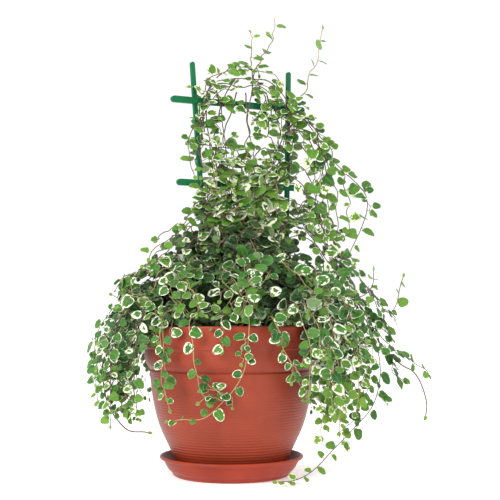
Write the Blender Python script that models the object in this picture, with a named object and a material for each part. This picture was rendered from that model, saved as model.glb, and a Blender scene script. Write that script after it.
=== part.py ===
"""Variegated creeping fig on a ladder trellis, in a round plastic pot that stands on a saucer.

The pot's axis is the Z axis and the saucer's underside is at z = 0. The front of the pot faces -Y.
Sizes and routes are given in millimetres and turned into metres by MM.
"""
import math
import random

import bmesh
import bpy
from mathutils import Matrix, Vector
from mathutils.bvhtree import BVHTree

MM = 0.001
CLEAR = 0.35

# Turned pieces: number of flat sides round the axis
SIDES = 28

# Saucer
SAUCER_RADIUS = 69.5
SAUCER_HEIGHT = 19.8
SAUCER_FOOT_RADIUS = 57.4
SAUCER_FLOOR = 2.2

# Pot
RIM_RADIUS = 86.0
RIM_HEIGHT = 146.0
COLLAR_BOTTOM = 124.0
BAND_RADIUS = 84.7
GROOVE_HEIGHT = 103.0
BOWL_TOP_RADIUS = 79.4
FOOT_RADIUS = 50.0
FOOT_BOTTOM = SAUCER_FLOOR + 0.3
WALL = 2.2
DRAIN_HOLES = 5
DRAIN_RADIUS = 4.0
DRAIN_RING = 30.0
POT_FLOOR = 2.4
FLOOR_TOP = FOOT_BOTTOM + 5.0

# Soil
SOIL_TOP = 135.0
SOIL_LUMP = 0.9
HOLE_BOTTOM = 123.0
ROOT_BOTTOM = 124.5

# Trellis, moulded in one piece: its plane is turned about the vertical, left side forward
TRELLIS_PLACE = (10.0, 0.5, 0.0)
TRELLIS_YAW = math.radians(28.6)
TRELLIS_THICKNESS = 3.4
TRELLIS_EDGE = 0.6
TRELLIS_TOP = 398.0
TRELLIS_BOTTOM = 40.0
UPRIGHT_WIDTH = 4.4
UPRIGHT_FEET = (-26.8, 47.8)
UPRIGHT_TOPS = (-54.1, 53.0)
RUNG_HEIGHT = 6.2
RUNG_CENTRE = -2.6
RUNG_EXTRA_THICKNESS = 0.8
RUNGS = ((360.6, 147.4), (281.5, 134.8), (202.4, 122.2))

# Leaves and stems
LEAF_LENGTH = 11.5
CORE_LEAF_LENGTH = 16.5
LEAF_WIDTH_RATIO = 0.84
LEAF_THICKNESS = 1.4
STALK_RADIUS = 0.5
STALK_LENGTH = 2.8
STEM_RADIUS = 0.85
STEM_STEP = 22.0
FOOT_STEM_RADIUS = 1.7
LEAF_SPACING = 26.0
FIRST_LEAF_TRAILING = 38.0
FIRST_LEAF_CLIMBING = 12.0
LEAF_ROOT_DEPTH = 4.5
TRIES = 10
GOLDEN = 0.7548776662
SILVER = 0.5698402910

# Core of the dense foliage: height, then centre and half-widths along and across the trellis
CORE_SIDES = 10
CORE_SLICES = (
    (150.0, 3.0, 0.0, 38.0, 34.0),
    (160.0, 3.0, 0.0, 50.0, 45.0),
    (178.0, 4.0, 0.0, 55.0, 47.0),
    (195.0, 5.0, 0.0, 60.0, 40.0),
    (209.0, 5.0, 0.0, 60.0, 29.0),
    (226.0, 4.0, 0.0, 38.0, 18.0),
    (244.0, 3.0, 0.0, 37.0, 14.0),
    (262.0, 1.0, 0.0, 36.0, 11.0),
    (282.0, 0.0, 0.0, 34.0, 9.5),
    (298.0, 0.0, 0.0, 22.0, 5.0),
)
CORE_LUMP = 0.7
CORE_LEAVES = 156
CORE_FEET = ((-14.0, 2.0), (-2.0, -22.0), (22.0, -18.0), (34.0, 2.0), (22.0, 22.0), (0.0, 20.0))

# Climbing shoots in the trellis's own frame: along it, in front of it, height.
# Each grows from the core, or from the earlier shoot whose number it gives.
CLIMBING_SHOOTS = (
    (None, ((-18, 5.5, 258), (-27, 6.5, 284), (-38, 8, 318), (-42, 7, 350), (-41, 7, 370), (-30, 3, 381),
            (-8, 2, 386), (12, 1, 387), (28, 2, 386), (40, 5, 377), (47, 8, 362), (45, 9, 335),
            (38, 8, 305), (28, 6.5, 284), (18, 5.5, 258))),
    (0, ((12, 1, 387), (15, 0, 397), (23, -1, 409), (33, -2, 425), (39, -3, 439), (38, -3, 450))),
    (0, ((4, 2, 387), (8, 4, 403), (9, 4, 420), (8, 3, 434))),
    (0, ((45, 7, 368), (60, 7, 372), (71, 6, 381), (77, 3, 399), (87, 1, 414), (91, 0, 433), (93, 0, 447))),
    (0, ((46, 8, 345), (62, 9, 352), (76, 8, 341), (88, 6, 327), (97, 5, 312), (107, 6, 303), (122, 8, 296),
         (134, 10, 284), (139, 12, 270), (136, 14, 254), (128, 16, 238), (118, 16, 222), (110, 14, 206))),
    (0, ((45, 9, 330), (58, 13, 337), (74, 14, 322), (84, 13, 304), (87, 12, 288), (84, 14, 268),
         (80, 15, 250))),
    (0, ((-42, 7, 345), (-54, 9, 337), (-62, 9, 321), (-61, 9, 303), (-56, 10, 287))),
    (None, ((-22, 6, 236), (-38, 11, 246), (-54, 12, 246), (-68, 12, 238), (-84, 14, 226), (-97, 14, 220),
            (-104, 14, 208))),
    (0, ((-16, 2, 383), (-22, 5, 366), (-24, 5, 345), (-22, 5, 320), (-15, 5, 286), (-12, 5, 272))),
    (0, ((10, 1, 384), (7, 6, 367), (2, 6, 346), (8, 5, 322), (13, 5, 286), (12, 5, 272))),
    (None, ((22, -5, 262), (44, -8, 280), (64, -6, 286), (80, -2, 272), (88, 2, 254), (94, 4, 234),
            (98, 4, 212))),
)

# Trailing shoots that hang free over the rim:
# bearing of the root, swing on the way, reach from the axis, height of the arch, height of the tip
ARCHING_SHOOTS = {
    "left_shoot_1": (150, 4, 112, 170, 72),
    "left_shoot_2": (164, 3, 124, 176, 100),
    "left_shoot_3": (177, 4, 134, 172, 88),
    "left_shoot_5": (203, 2, 124, 168, 54),
    "left_shoot_6": (215, 4, 112, 164, 66),
    "right_shoot_1": (310, 4, 106, 166, 86),
    "right_shoot_2": (323, 6, 119, 176, 48),
    "right_shoot_3": (336, 4, 128, 184, 72),
    "right_shoot_8": (32, 3, 130, 180, 88),
    "right_shoot_9": (46, 3, 119, 174, 58),
    "back_shoot_1": (62, 4, 113, 182, 82),
    "back_shoot_2": (79, -3, 117, 174, 50),
    "back_shoot_3": (97, 3, 113, 186, 94),
    "back_shoot_4": (115, -3, 116, 176, 58),
    "back_shoot_5": (133, 3, 117, 182, 84),
}

# Trailing shoots whose routes follow the pot's front or reach far out, from the root to the tip
ROUTED_SHOOTS = {
    "left_shoot_4": ((-69, -14, 139), (-75, -17, 154), (-90, -22, 166), (-106, -27, 156), (-118, -31, 128),
                     (-121, -34, 92), (-112, -36, 64), (-96, -38, 49), (-78, -40, 45)),
    "front_shoot_1": ((-50, -50, 139), (-54, -56, 151), (-60, -68, 156), (-62, -76, 144), (-61, -76, 116),
                      (-59, -74, 88), (-55, -72, 70)),
    "front_shoot_2": ((-31, -63, 139), (-33, -70, 150), (-35, -82, 155), (-36, -89, 144), (-33, -91, 124),
                      (-30, -90, 101), (-25, -89, 88), (-15, -88, 80)),
    "front_shoot_3": ((14, -70, 139), (16, -76, 149), (17, -88, 154), (17, -94, 142), (16, -95, 126),
                      (12, -95, 104), (-6, -93, 80), (-19, -90, 66), (-32, -85, 61), (-45, -78, 61),
                      (-57, -69, 60)),
    "front_shoot_4": ((30, -64, 139), (33, -71, 150), (38, -82, 155), (43, -87, 142), (51, -83, 120),
                      (61, -75, 98), (69, -67, 80)),
    "right_shoot_4": ((69, -15, 139), (78, -17, 158), (97, -20, 178), (122, -24, 160), (139, -24, 120),
                      (138, -20, 74), (116, -24, 45), (93, -36, 26), (74, -48, 10), (59, -58, 3.4),
                      (43, -70, 4)),
    "right_shoot_5": ((71, -1, 139), (79, 0, 164), (98, 1, 186), (124, 1, 164), (145, 1, 128),
                      (163, 0, 108), (176, 0, 100), (185, 0, 87), (189, 0, 72), (188, 0, 57)),
    "right_shoot_6": ((70, 13, 139), (75, 15, 168), (88, 17, 200), (111, 18, 207), (131, 18, 186),
                      (145, 17, 166), (156, 15, 156), (163, 14, 165), (167, 14, 178), (170, 14, 191)),
    "right_shoot_7": ((65, 28, 139), (74, 32, 158), (92, 38, 180), (116, 38, 174), (135, 34, 174),
                      (142, 32, 186), (142, 31, 199)),
}


def clear_scene():
    for obj in list(bpy.data.objects):
        bpy.data.objects.remove(obj, do_unlink=True)


def material(name, colour, roughness, metallic=0.0):
    """A Principled material; the colour is linear RGB."""
    mat = bpy.data.materials.new(name)
    mat.use_nodes = True
    shader = mat.node_tree.nodes["Principled BSDF"]
    shader.inputs["Base Color"].default_value = (*colour, 1.0)
    shader.inputs["Roughness"].default_value = roughness
    shader.inputs["Metallic"].default_value = metallic
    mat.diffuse_color = (*colour, 1.0)
    return mat


def add_object(name, bm, mat):
    """Turn a bmesh into a named object with faces pointing out."""
    bmesh.ops.recalc_face_normals(bm, faces=bm.faces)
    mesh = bpy.data.meshes.new(name)
    bm.to_mesh(mesh)
    bm.free()
    mesh.materials.append(mat)
    obj = bpy.data.objects.new(name, mesh)
    bpy.context.scene.collection.objects.link(obj)
    return obj


def apply_modifiers(obj):
    """Keep what the modifiers make as the object's own mesh."""
    evaluated = obj.evaluated_get(bpy.context.evaluated_depsgraph_get())
    mesh = bpy.data.meshes.new_from_object(evaluated)
    obj.modifiers.clear()
    obj.data = mesh


def cut(target, cutter):
    """Take the cutter's shape out of the target, then remove the cutter."""
    modifier = target.modifiers.new("Cut", "BOOLEAN")
    modifier.operation = "DIFFERENCE"
    modifier.object = cutter
    apply_modifiers(target)
    bpy.data.objects.remove(cutter, do_unlink=True)


def fuse(target, pieces, solver="EXACT"):
    """Join the pieces to the target in one closed body, then remove them."""
    collection = bpy.data.collections.new("pieces of " + target.name)
    bpy.context.scene.collection.children.link(collection)
    for piece in pieces:
        bpy.context.scene.collection.objects.unlink(piece)
        collection.objects.link(piece)
    modifier = target.modifiers.new("Fuse", "BOOLEAN")
    modifier.operation = "UNION"
    modifier.solver = solver
    modifier.operand_type = "COLLECTION"
    modifier.collection = collection
    apply_modifiers(target)
    for piece in pieces:
        bpy.data.objects.remove(piece, do_unlink=True)
    bpy.data.collections.remove(collection)


def drop_scraps(obj):
    """Keep only the largest of the bodies that a cut has left."""
    bm = bmesh.new()
    bm.from_mesh(obj.data)
    left = set(bm.faces)
    bodies = []
    while left:
        body = {left.pop()}
        waiting = list(body)
        while waiting:
            face = waiting.pop()
            near = {other for edge in face.edges for other in edge.link_faces} & left
            left -= near
            body |= near
            waiting += near
        bodies.append(body)
    largest = max(bodies, key=len)
    scraps = [face for body in bodies if body is not largest for face in body]
    bmesh.ops.delete(bm, geom=scraps, context="FACES")
    bm.to_mesh(obj.data)
    bm.free()


def smooth_path(points, step):
    """Points about one step apart on a Catmull-Rom curve through the given points."""
    ends = [points[0] * 2 - points[1]] + list(points) + [points[-1] * 2 - points[-2]]
    path = [points[0]]
    for i in range(1, len(ends) - 2):
        a, b, c, d = ends[i - 1:i + 3]
        count = max(1, round((c - b).length / step))
        for k in range(1, count + 1):
            t = k / count
            path.append(0.5 * ((b * 2) + (c - a) * t + (a * 2 - b * 5 + c * 4 - d) * t * t
                               + (b * 3 - a - c * 3 + d) * t ** 3))
    return path


def arc(centre, radius, start, end, count):
    """Points on an arc in the profile's plane, angles in degrees."""
    angles = [math.radians(start + (end - start) * i / (count - 1)) for i in range(count)]
    return [(centre[0] + radius * math.cos(a), centre[1] + radius * math.sin(a)) for a in angles]


def turned(name, profile, mat):
    """Spin a profile of (radius, height) points round the Z axis."""
    bm = bmesh.new()
    verts = [bm.verts.new((r * MM, 0.0, z * MM)) for r, z in profile]
    edges = [bm.edges.new(pair) for pair in zip(verts, verts[1:])]
    bmesh.ops.spin(bm, geom=verts + edges, cent=(0, 0, 0), axis=(0, 0, 1),
                   angle=math.tau, steps=SIDES, use_merge=True)
    bmesh.ops.remove_doubles(bm, verts=bm.verts, dist=0.001 * MM)
    obj = add_object(name, bm, mat)
    obj.data.shade_smooth()
    obj.data.set_sharp_from_angle(angle=math.radians(35))
    return obj


def bowl_outside(count):
    """The bowl's outer curve, from the foot up to the groove."""
    guide = ((FOOT_RADIUS, FOOT_BOTTOM + 1.0), (59.4, 25.6), (70.2, 49.5), (76.2, 74.0),
             (BOWL_TOP_RADIUS, GROOVE_HEIGHT - 2.0))
    path = smooth_path([Vector(point) for point in guide], 130.0 / count)
    return [(p.x, p.y) for p in path]


def make_saucer(mat):
    foot_arc = arc((SAUCER_FOOT_RADIUS - 4.4, 4.4), 4.4, -90, -10, 3)
    lip_arc = arc((SAUCER_RADIUS - 1.6, SAUCER_HEIGHT - 1.6), 1.6, -60, 150, 4)
    profile = [(0.0, 0.0)] + foot_arc + [(64.0, 12.2), (65.6, 16.4)] + lip_arc
    profile += [(62.0, 12.2), (SAUCER_FOOT_RADIUS - 2.2, 4.2), (SAUCER_FOOT_RADIUS - 4.6, SAUCER_FLOOR),
                (0.0, SAUCER_FLOOR)]
    return turned("saucer", profile, mat)


def pot_inside():
    """The inner wall from the rim down to the floor, shared by the pot and the soil."""
    return [(RIM_RADIUS - 4.0, RIM_HEIGHT - 4.0), (RIM_RADIUS - 4.0, COLLAR_BOTTOM),
            (BOWL_TOP_RADIUS - WALL, 100.0), (76.2 - WALL, 74.0), (70.0 - WALL, 49.5),
            (FOOT_RADIUS - 0.4, 11.0), (FOOT_RADIUS - 3.0, FLOOR_TOP)]


def make_pot(mat):
    under = [(0.0, FLOOR_TOP - POT_FLOOR), (FOOT_RADIUS - 5.0, FLOOR_TOP - POT_FLOOR),
             (FOOT_RADIUS - 4.4, FOOT_BOTTOM), (FOOT_RADIUS - 0.8, FOOT_BOTTOM)]
    groove = [(BOWL_TOP_RADIUS - 0.7, GROOVE_HEIGHT - 0.6), (BOWL_TOP_RADIUS, GROOVE_HEIGHT + 0.4)]
    band = [(82.4, 107.6), (84.1, 113.0), (BAND_RADIUS, COLLAR_BOTTOM - 0.6)]
    collar = [(RIM_RADIUS - 0.4, COLLAR_BOTTOM), (RIM_RADIUS, COLLAR_BOTTOM + 2.0)]
    lip = arc((RIM_RADIUS - 1.9, RIM_HEIGHT - 1.9), 1.9, 0, 140, 3)
    profile = under + bowl_outside(5) + groove + band + collar + lip + pot_inside()
    pot = turned("pot", profile + [(0.0, FLOOR_TOP)], mat)
    cutter = bmesh.new()
    for i in range(DRAIN_HOLES):
        angle = math.tau * i / DRAIN_HOLES
        place = Matrix.Translation((DRAIN_RING * math.cos(angle) * MM,
                                    DRAIN_RING * math.sin(angle) * MM, FLOOR_TOP * MM))
        bmesh.ops.create_cone(cutter, cap_ends=True, segments=8, radius1=DRAIN_RADIUS * MM,
                              radius2=DRAIN_RADIUS * MM, depth=10.0 * MM, matrix=place)
    cut(pot, add_object("drain cutter", cutter, mat))
    return pot


def bar(start, end, width, thickness, rounded):
    """A flat bar in the trellis's plane; its ends are half round where asked, else pointed."""
    axis = (end - start).normalized()
    across = Vector((-axis.z, 0.0, axis.x))
    half = width / 2
    outline = []
    for point, sign, is_round in ((start, -1, rounded[0]), (end, 1, rounded[1])):
        angles = (-90, -45, 0, 45, 90) if is_round else (-90, 0, 90)
        reach = 1.0 if is_round else 2.4
        for degrees in angles:
            a = math.radians(degrees)
            outline.append(point + axis * sign * math.cos(a) * half * reach
                           + across * sign * math.sin(a) * half)
    bm = bmesh.new()
    verts = [bm.verts.new((p.x * MM, -thickness * MM / 2, p.z * MM)) for p in outline]
    face = bm.faces.new(verts)
    moved = bmesh.ops.extrude_face_region(bm, geom=[face])["geom"]
    shift = Vector((0.0, thickness * MM, 0.0))
    bmesh.ops.translate(bm, verts=[g for g in moved if isinstance(g, bmesh.types.BMVert)], vec=shift)
    return bm


def make_trellis(mat, grow=0.0):
    """Two splayed uprights and three rungs; grow makes the slightly larger copy used as a cutter."""
    wide = UPRIGHT_WIDTH + 2 * grow
    bars = []
    for foot, top in zip(UPRIGHT_FEET, UPRIGHT_TOPS):
        start = Vector((foot, 0.0, TRELLIS_BOTTOM + wide))
        end = Vector((top, 0.0, TRELLIS_TOP - UPRIGHT_WIDTH / 2))
        bars.append(bar(start, end, wide, TRELLIS_THICKNESS + 2 * grow, (False, True)))
    for height, length in RUNGS:
        reach = length / 2 - RUNG_HEIGHT / 2
        start = Vector((RUNG_CENTRE - reach, 0.0, height))
        end = Vector((RUNG_CENTRE + reach, 0.0, height))
        thick = TRELLIS_THICKNESS + RUNG_EXTRA_THICKNESS + 2 * grow
        bars.append(bar(start, end, RUNG_HEIGHT + 2 * grow, thick, (True, True)))
    objects = [add_object("trellis", bm, mat) for bm in bars]
    trellis = objects[0]
    fuse(trellis, objects[1:])
    trellis.location = Vector(TRELLIS_PLACE) * MM
    trellis.rotation_euler.z = TRELLIS_YAW
    bpy.context.view_layer.update()
    if not grow:
        edges = trellis.modifiers.new("Edges", "BEVEL")
        edges.width = TRELLIS_EDGE * MM
        edges.angle_limit = math.radians(60)
    return trellis


def make_soil(mat, roots):
    """The filling of the pot, lumpy on top, with a plain hole for every root and trellis leg."""
    wall = [(r - 0.4, z) for r, z in pot_inside() if z < SOIL_TOP and z != 74.0]
    wall[-1] = (wall[-1][0], FLOOR_TOP + 0.3)
    profile = [(0.0, FLOOR_TOP + 0.3)] + wall[::-1]
    profile += [(wall[0][0], SOIL_TOP), (60.0, SOIL_TOP), (30.0, SOIL_TOP), (0.0, SOIL_TOP)]
    soil = turned("soil", profile, mat)
    chance = random.Random(4)
    for vert in soil.data.vertices:
        if vert.co.z > (SOIL_TOP - 0.1) * MM:
            vert.co.z -= chance.uniform(0.0, SOIL_LUMP) * MM
    cutter = bmesh.new()
    for x, y, radius in roots:
        size = (radius + CLEAR) / math.cos(math.pi / 4) * MM
        centre = Vector((x * MM, y * MM, (HOLE_BOTTOM + 10.0) * MM))
        bmesh.ops.create_cone(cutter, cap_ends=True, segments=4, radius1=size, radius2=size,
                              depth=20.0 * MM, matrix=Matrix.Translation(centre))
    cut(soil, add_object("root cutter", cutter, mat))
    return soil


def tube(path, radius, sides):
    """A closed tube along a path, pinched to half its radius at the far end."""
    bm = bmesh.new()
    rings = []
    side = Vector((1.0, 0.0, 0.0))
    for i, point in enumerate(path):
        along = (path[min(i + 1, len(path) - 1)] - path[max(i - 1, 0)]).normalized()
        side = (side - along * side.dot(along)).normalized()
        other = along.cross(side)
        size = radius * (1.0 - 0.5 * max(0.0, i / (len(path) - 1) * 4 - 3))
        ring = []
        for k in range(sides):
            a = math.tau * k / sides
            ring.append(bm.verts.new((point + (side * math.cos(a) + other * math.sin(a)) * size) * MM))
        rings.append(ring)
    for lower, upper in zip(rings, rings[1:]):
        for k in range(sides):
            j = (k + 1) % sides
            bm.faces.new((lower[k], lower[j], upper[j], upper[k]))
    bm.faces.new(rings[0][::-1])
    bm.faces.new(rings[-1])
    bmesh.ops.triangulate(bm, faces=bm.faces)
    return bm


def leaf_points(root, neck, direction, facing, length):
    """A cupped leaf: three corners at its root, five on its margin, and the two faces of its rib."""
    forward = direction.normalized()
    up = (facing - forward * facing.dot(forward)).normalized()
    across = forward.cross(up)
    width = length * LEAF_WIDTH_RATIO
    stalk = (neck - root).normalized()
    stalk_side = stalk.cross(up).normalized()
    stalk_up = stalk_side.cross(stalk)
    points = []
    for x, z in ((-0.87, 0.5), (0.87, 0.5), (0.0, -1.0)):
        points.append(root + (stalk_side * x + stalk_up * z) * STALK_RADIUS)
    for x, y, z in ((-0.42, 0.16, 0.10), (-0.46, 0.58, 0.12), (0.0, 1.0, -0.06), (0.46, 0.58, 0.12),
                    (0.42, 0.16, 0.10)):
        points.append(neck + across * x * width + forward * y * length + up * z * width)
    middle = neck + forward * 0.44 * length
    points.append(middle + up * LEAF_THICKNESS / 2)
    points.append(middle - up * LEAF_THICKNESS / 2)
    return points


# Corners 0 to 2 are the root, 3 to 7 the margin, 8 is on the upper face and 9 on the lower one
ROOT_FACES = ((0, 1, 2), (0, 1, 8), (0, 8, 3), (1, 7, 8), (0, 3, 2), (3, 9, 2), (1, 2, 7), (2, 9, 7))
BLADE_FACES = ((8, 4, 3), (8, 5, 4), (8, 6, 5), (8, 7, 6), (9, 3, 4), (9, 4, 5), (9, 5, 6), (9, 6, 7))


def leaf_bmesh(points):
    bm = bmesh.new()
    verts = [bm.verts.new(p * MM) for p in points]
    for face in ROOT_FACES + BLADE_FACES:
        bm.faces.new([verts[i] for i in face])
    return bm


def bvh_of(bm, margin):
    """A search tree of a bmesh, in metres, that also finds faces nearer than the margin."""
    bm.verts.ensure_lookup_table()
    corners = [v.co.copy() for v in bm.verts]
    index = {v: i for i, v in enumerate(bm.verts)}
    faces = [[index[v] for v in f.verts] for f in bm.faces]
    return BVHTree.FromPolygons(corners, faces, epsilon=margin * MM)


def bvh_of_object(obj, margin):
    bm = bmesh.new()
    bm.from_object(obj, bpy.context.evaluated_depsgraph_get())
    bm.transform(obj.matrix_world)
    tree = bvh_of(bm, margin)
    bm.free()
    return tree


class Space:
    """What already stands somewhere, so that a new leaf can be bent clear of it."""

    def __init__(self, solids):
        self.solids = solids
        self.stems = {}
        self.leaves = []

    def add_stem(self, key, bm):
        self.stems[key] = bvh_of(bm, 0.5)

    def is_free(self, points, own_key):
        """True where a leaf crosses nothing but its own stem, and that only near its root."""
        corners = [p * MM for p in points]
        whole = BVHTree.FromPolygons(corners, ROOT_FACES + BLADE_FACES)
        blade = BVHTree.FromPolygons(corners, BLADE_FACES)
        if any(whole.overlap(solid) for solid in self.solids):
            return False
        for key, stem in self.stems.items():
            if (blade if key == own_key else whole).overlap(stem):
                return False
        reach = 2.4 * CORE_LEAF_LENGTH * MM
        near = [tree for middle, tree in self.leaves if (middle - corners[-1]).length < reach]
        return not any(whole.overlap(tree) for tree in near)

    def add_leaf(self, points):
        corners = [p * MM for p in points]
        tree = BVHTree.FromPolygons(corners, ROOT_FACES + BLADE_FACES, epsilon=CLEAR * MM)
        self.leaves.append((corners[-1], tree))


def radial(point):
    """Horizontal direction away from the pot's axis."""
    return Vector((point.x, point.y, 0.0)).normalized()


def jitter(chance, size):
    return Vector([chance.uniform(-size, size) for _ in range(3)])


def leaf_on_stem(chance, point, along, number):
    """Leaves stand left and right in turn and face up and outward."""
    out = radial(point)
    side = along.cross(out).normalized() * (1 if number % 2 else -1)
    high = min(1.0, max(0.0, (point.z - 150.0) / 150.0))
    up = Vector((0.0, 0.0, 1.0))
    stalk = (side + out * 0.4 + along * 0.3 + jitter(chance, 0.35)).normalized()
    direction = stalk + along * 0.15 - up * 0.12 + jitter(chance, 0.3)
    facing = out * (0.9 - 0.5 * high) + up * (0.6 + 0.4 * high) + jitter(chance, 0.35)
    neck = point + stalk * (STALK_LENGTH + chance.uniform(-0.4, 1.0))
    return leaf_points(point, neck, direction, facing, LEAF_LENGTH * chance.uniform(0.84, 1.14))


def leaves_along(space, key, path, first, seed):
    """Leaves at even steps along a stem, from the given height or length on, out to its tip."""
    chance = random.Random(seed)
    travelled = 0.0
    wanted = first
    number = 0
    made = []
    for a, b in zip(path, path[1:]):
        step = (b - a).length
        while wanted <= travelled + step:
            point = a.lerp(b, (wanted - travelled) / step)
            for _ in range(TRIES):
                points = leaf_on_stem(chance, point, (b - a).normalized(), number)
                if min(p.z for p in points) > 0.4 and space.is_free(points, key):
                    space.add_leaf(points)
                    made.append(points)
                    break
            wanted += LEAF_SPACING * chance.uniform(0.9, 1.1)
            number += 1
        travelled += step
    return made


def trellis_point(along, front, height):
    """A point given in the trellis's frame, in millimetres of the whole part."""
    turn = Matrix.Rotation(TRELLIS_YAW, 3, "Z")
    return Vector(TRELLIS_PLACE) + turn @ Vector((along, -front, height))


def core_point(level, angle):
    """A point on the core's surface: level runs from 0 at the bottom to 1 at the top."""
    place = level * (len(CORE_SLICES) - 1)
    i = min(int(place), len(CORE_SLICES) - 2)
    t = place - i
    z, s, q, a, b = [p + (n - p) * t for p, n in zip(CORE_SLICES[i], CORE_SLICES[i + 1])]
    return trellis_point(s + a * math.cos(angle), q + b * math.sin(angle), z)


def make_core(mat):
    """The dense middle of the foliage, uneven and smaller than the leaves that stand out of it."""
    chance = random.Random(7)
    bm = bmesh.new()
    rings = []
    for i in range(len(CORE_SLICES)):
        level = i / (len(CORE_SLICES) - 1)
        angles = [math.tau * (k + 0.5 * (i % 2)) / CORE_SIDES for k in range(CORE_SIDES)]
        ring = [core_point(level, a) + jitter(chance, CORE_LUMP) for a in angles]
        rings.append([bm.verts.new(point * MM) for point in ring])
    for i, (lower, upper) in enumerate(zip(rings, rings[1:])):
        for k in range(CORE_SIDES):
            j = (k + 1) % CORE_SIDES
            if i % 2:
                bm.faces.new((lower[k], lower[j], upper[j]))
                bm.faces.new((lower[k], upper[j], upper[k]))
            else:
                bm.faces.new((lower[k], lower[j], upper[k]))
                bm.faces.new((lower[j], upper[j], upper[k]))
    bm.faces.new(rings[0])
    bm.faces.new(rings[-1])
    bmesh.ops.triangulate(bm, faces=[f for f in bm.faces if len(f.verts) > 4])
    return add_object("climbing_foliage", bm, mat)


def core_leaves(space):
    """Leaves spread evenly over the core, each on a stalk that is sunk into it."""
    chance = random.Random(11)
    up = Vector((0.0, 0.0, 1.0))
    made = []
    for i in range(CORE_LEAVES):
        level = 0.06 + 0.92 * (i * GOLDEN % 1.0)
        angle = math.tau * (i * SILVER % 1.0)
        point = core_point(level, angle)
        centre = core_point(level, angle + math.pi).lerp(point, 0.5)
        out = (point - centre).normalized() + up * 0.25
        for _ in range(TRIES):
            stalk = (out + jitter(chance, 0.3)).normalized()
            root = point - stalk * LEAF_ROOT_DEPTH
            neck = point + stalk * chance.uniform(1.5, 7.0)
            direction = stalk - up * 0.6 + jitter(chance, 0.35)
            facing = out * 0.6 + up + jitter(chance, 0.35)
            length = CORE_LEAF_LENGTH * chance.uniform(0.86, 1.14)
            points = leaf_points(root, neck, direction, facing, length)
            if space.is_free(points, "core"):
                space.add_leaf(points)
                made.append(points)
                break
    return made


def arching_route(bearing, swing, reach, arch, tip):
    """A shoot that rises from the soil, arches over the rim and hangs down outside it."""
    past_rim = reach - 84.0
    stations = ((71.0, 0.0, 139.0), (75.0, 0.05, arch - 15.0), (84.0 + 0.3 * past_rim, 0.2, arch),
                (84.0 + 0.65 * past_rim, 0.4, arch - 11.0),
                (84.0 + 0.92 * past_rim, 0.6, 0.6 * arch + 0.4 * tip),
                (reach, 0.8, 0.3 * arch + 0.7 * tip), (reach - 2.0, 1.0, tip))
    route = []
    for radius, share, height in stations:
        a = math.radians(bearing + swing * share)
        route.append(Vector((radius * math.cos(a), radius * math.sin(a), height)))
    return route


def rooted_path(route):
    """The route's smooth path, with a straight root below its first point."""
    foot = route[0].copy()
    foot.z = ROOT_BOTTOM
    return [foot] + smooth_path(route, STEM_STEP)


def climbing_paths():
    """Smooth paths of the climbing shoots; a side shoot starts on the axis of the one that bears it."""
    paths = []
    for bearer, points in CLIMBING_SHOOTS:
        route = [trellis_point(*point) for point in points]
        if bearer is not None:
            route[0] = min(paths[bearer], key=lambda point: (point - route[0]).length)
        paths.append(smooth_path(route, STEM_STEP))
    return paths


def trailing_routes():
    """Every trailing shoot's route by name."""
    routes = {name: arching_route(*values) for name, values in ARCHING_SHOOTS.items()}
    routes.update({name: [Vector(p) for p in points] for name, points in ROUTED_SHOOTS.items()})
    return dict(sorted(routes.items()))


def build():
    clear_scene()
    terracotta = material("terracotta plastic", (0.47, 0.077, 0.042), 0.42)
    saucer_plastic = material("saucer plastic", (0.50, 0.085, 0.047), 0.40)
    green_plastic = material("green plastic", (0.006, 0.19, 0.08), 0.38)
    earth = material("potting soil", (0.017, 0.012, 0.009), 0.95)
    inner_green = material("climbing foliage", (0.05, 0.17, 0.025), 0.55)
    leaf_green = material("trailing foliage", (0.09, 0.26, 0.035), 0.55)

    make_saucer(saucer_plastic)
    pot = make_pot(terracotta)
    trellis = make_trellis(green_plastic)
    paths = {name: rooted_path(route) for name, route in trailing_routes().items()}
    roots = [(path[0].x, path[0].y, STEM_RADIUS) for path in paths.values()]
    roots += [(x, y, FOOT_STEM_RADIUS) for x, y in CORE_FEET]
    soil = make_soil(earth, roots)
    cut(soil, make_trellis(green_plastic, CLEAR))
    core = make_core(inner_green)
    cut(core, make_trellis(green_plastic, CLEAR))
    drop_scraps(core)

    space = Space([bvh_of_object(obj, 0.5) for obj in (pot, trellis, soil, bpy.data.objects["saucer"])])
    stems = {name: tube(path, STEM_RADIUS, 3) for name, path in paths.items()}
    shoots = climbing_paths()
    shoot_tubes = [tube(path, STEM_RADIUS, 3) for path in shoots]
    for name, bm in stems.items():
        space.add_stem(name, bm)
    for i, bm in enumerate(shoot_tubes):
        space.add_stem(i, bm)
    space.stems["core"] = bvh_of_object(core, 0.2)

    for i, name in enumerate(paths):
        leaves = leaves_along(space, name, paths[name], FIRST_LEAF_TRAILING, 100 + i)
        stem = add_object(name, stems[name], leaf_green)
        fuse(stem, [add_object("leaf", leaf_bmesh(points), leaf_green) for points in leaves])
    leaves = []
    for i, path in enumerate(shoots):
        leaves += leaves_along(space, i, path, FIRST_LEAF_CLIMBING, 200 + i)
    leaves += core_leaves(space)
    pieces = [add_object("leaf", leaf_bmesh(points), inner_green) for points in leaves]
    pieces += [add_object("shoot", bm, inner_green) for bm in shoot_tubes]
    for x, y in CORE_FEET:
        foot = [Vector((x, y, ROOT_BOTTOM)), Vector((x, y, 160.0))]
        pieces.append(add_object("foot", tube(foot, FOOT_STEM_RADIUS, 5), inner_green))
    fuse(core, pieces, "MANIFOLD")
    drop_scraps(core)


build()
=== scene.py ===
"""Variegated creeping fig on a ladder trellis, in a round plastic pot that stands on a saucer.

Makes the finished pot, saucer, soil, trellis, stems and leaves round the fixed frame, and a studio stage.
Tables of places are in millimetres in the frame's axes: +X right, +Y away from the viewer, +Z up.
"""

import math
import random
from collections import namedtuple

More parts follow.
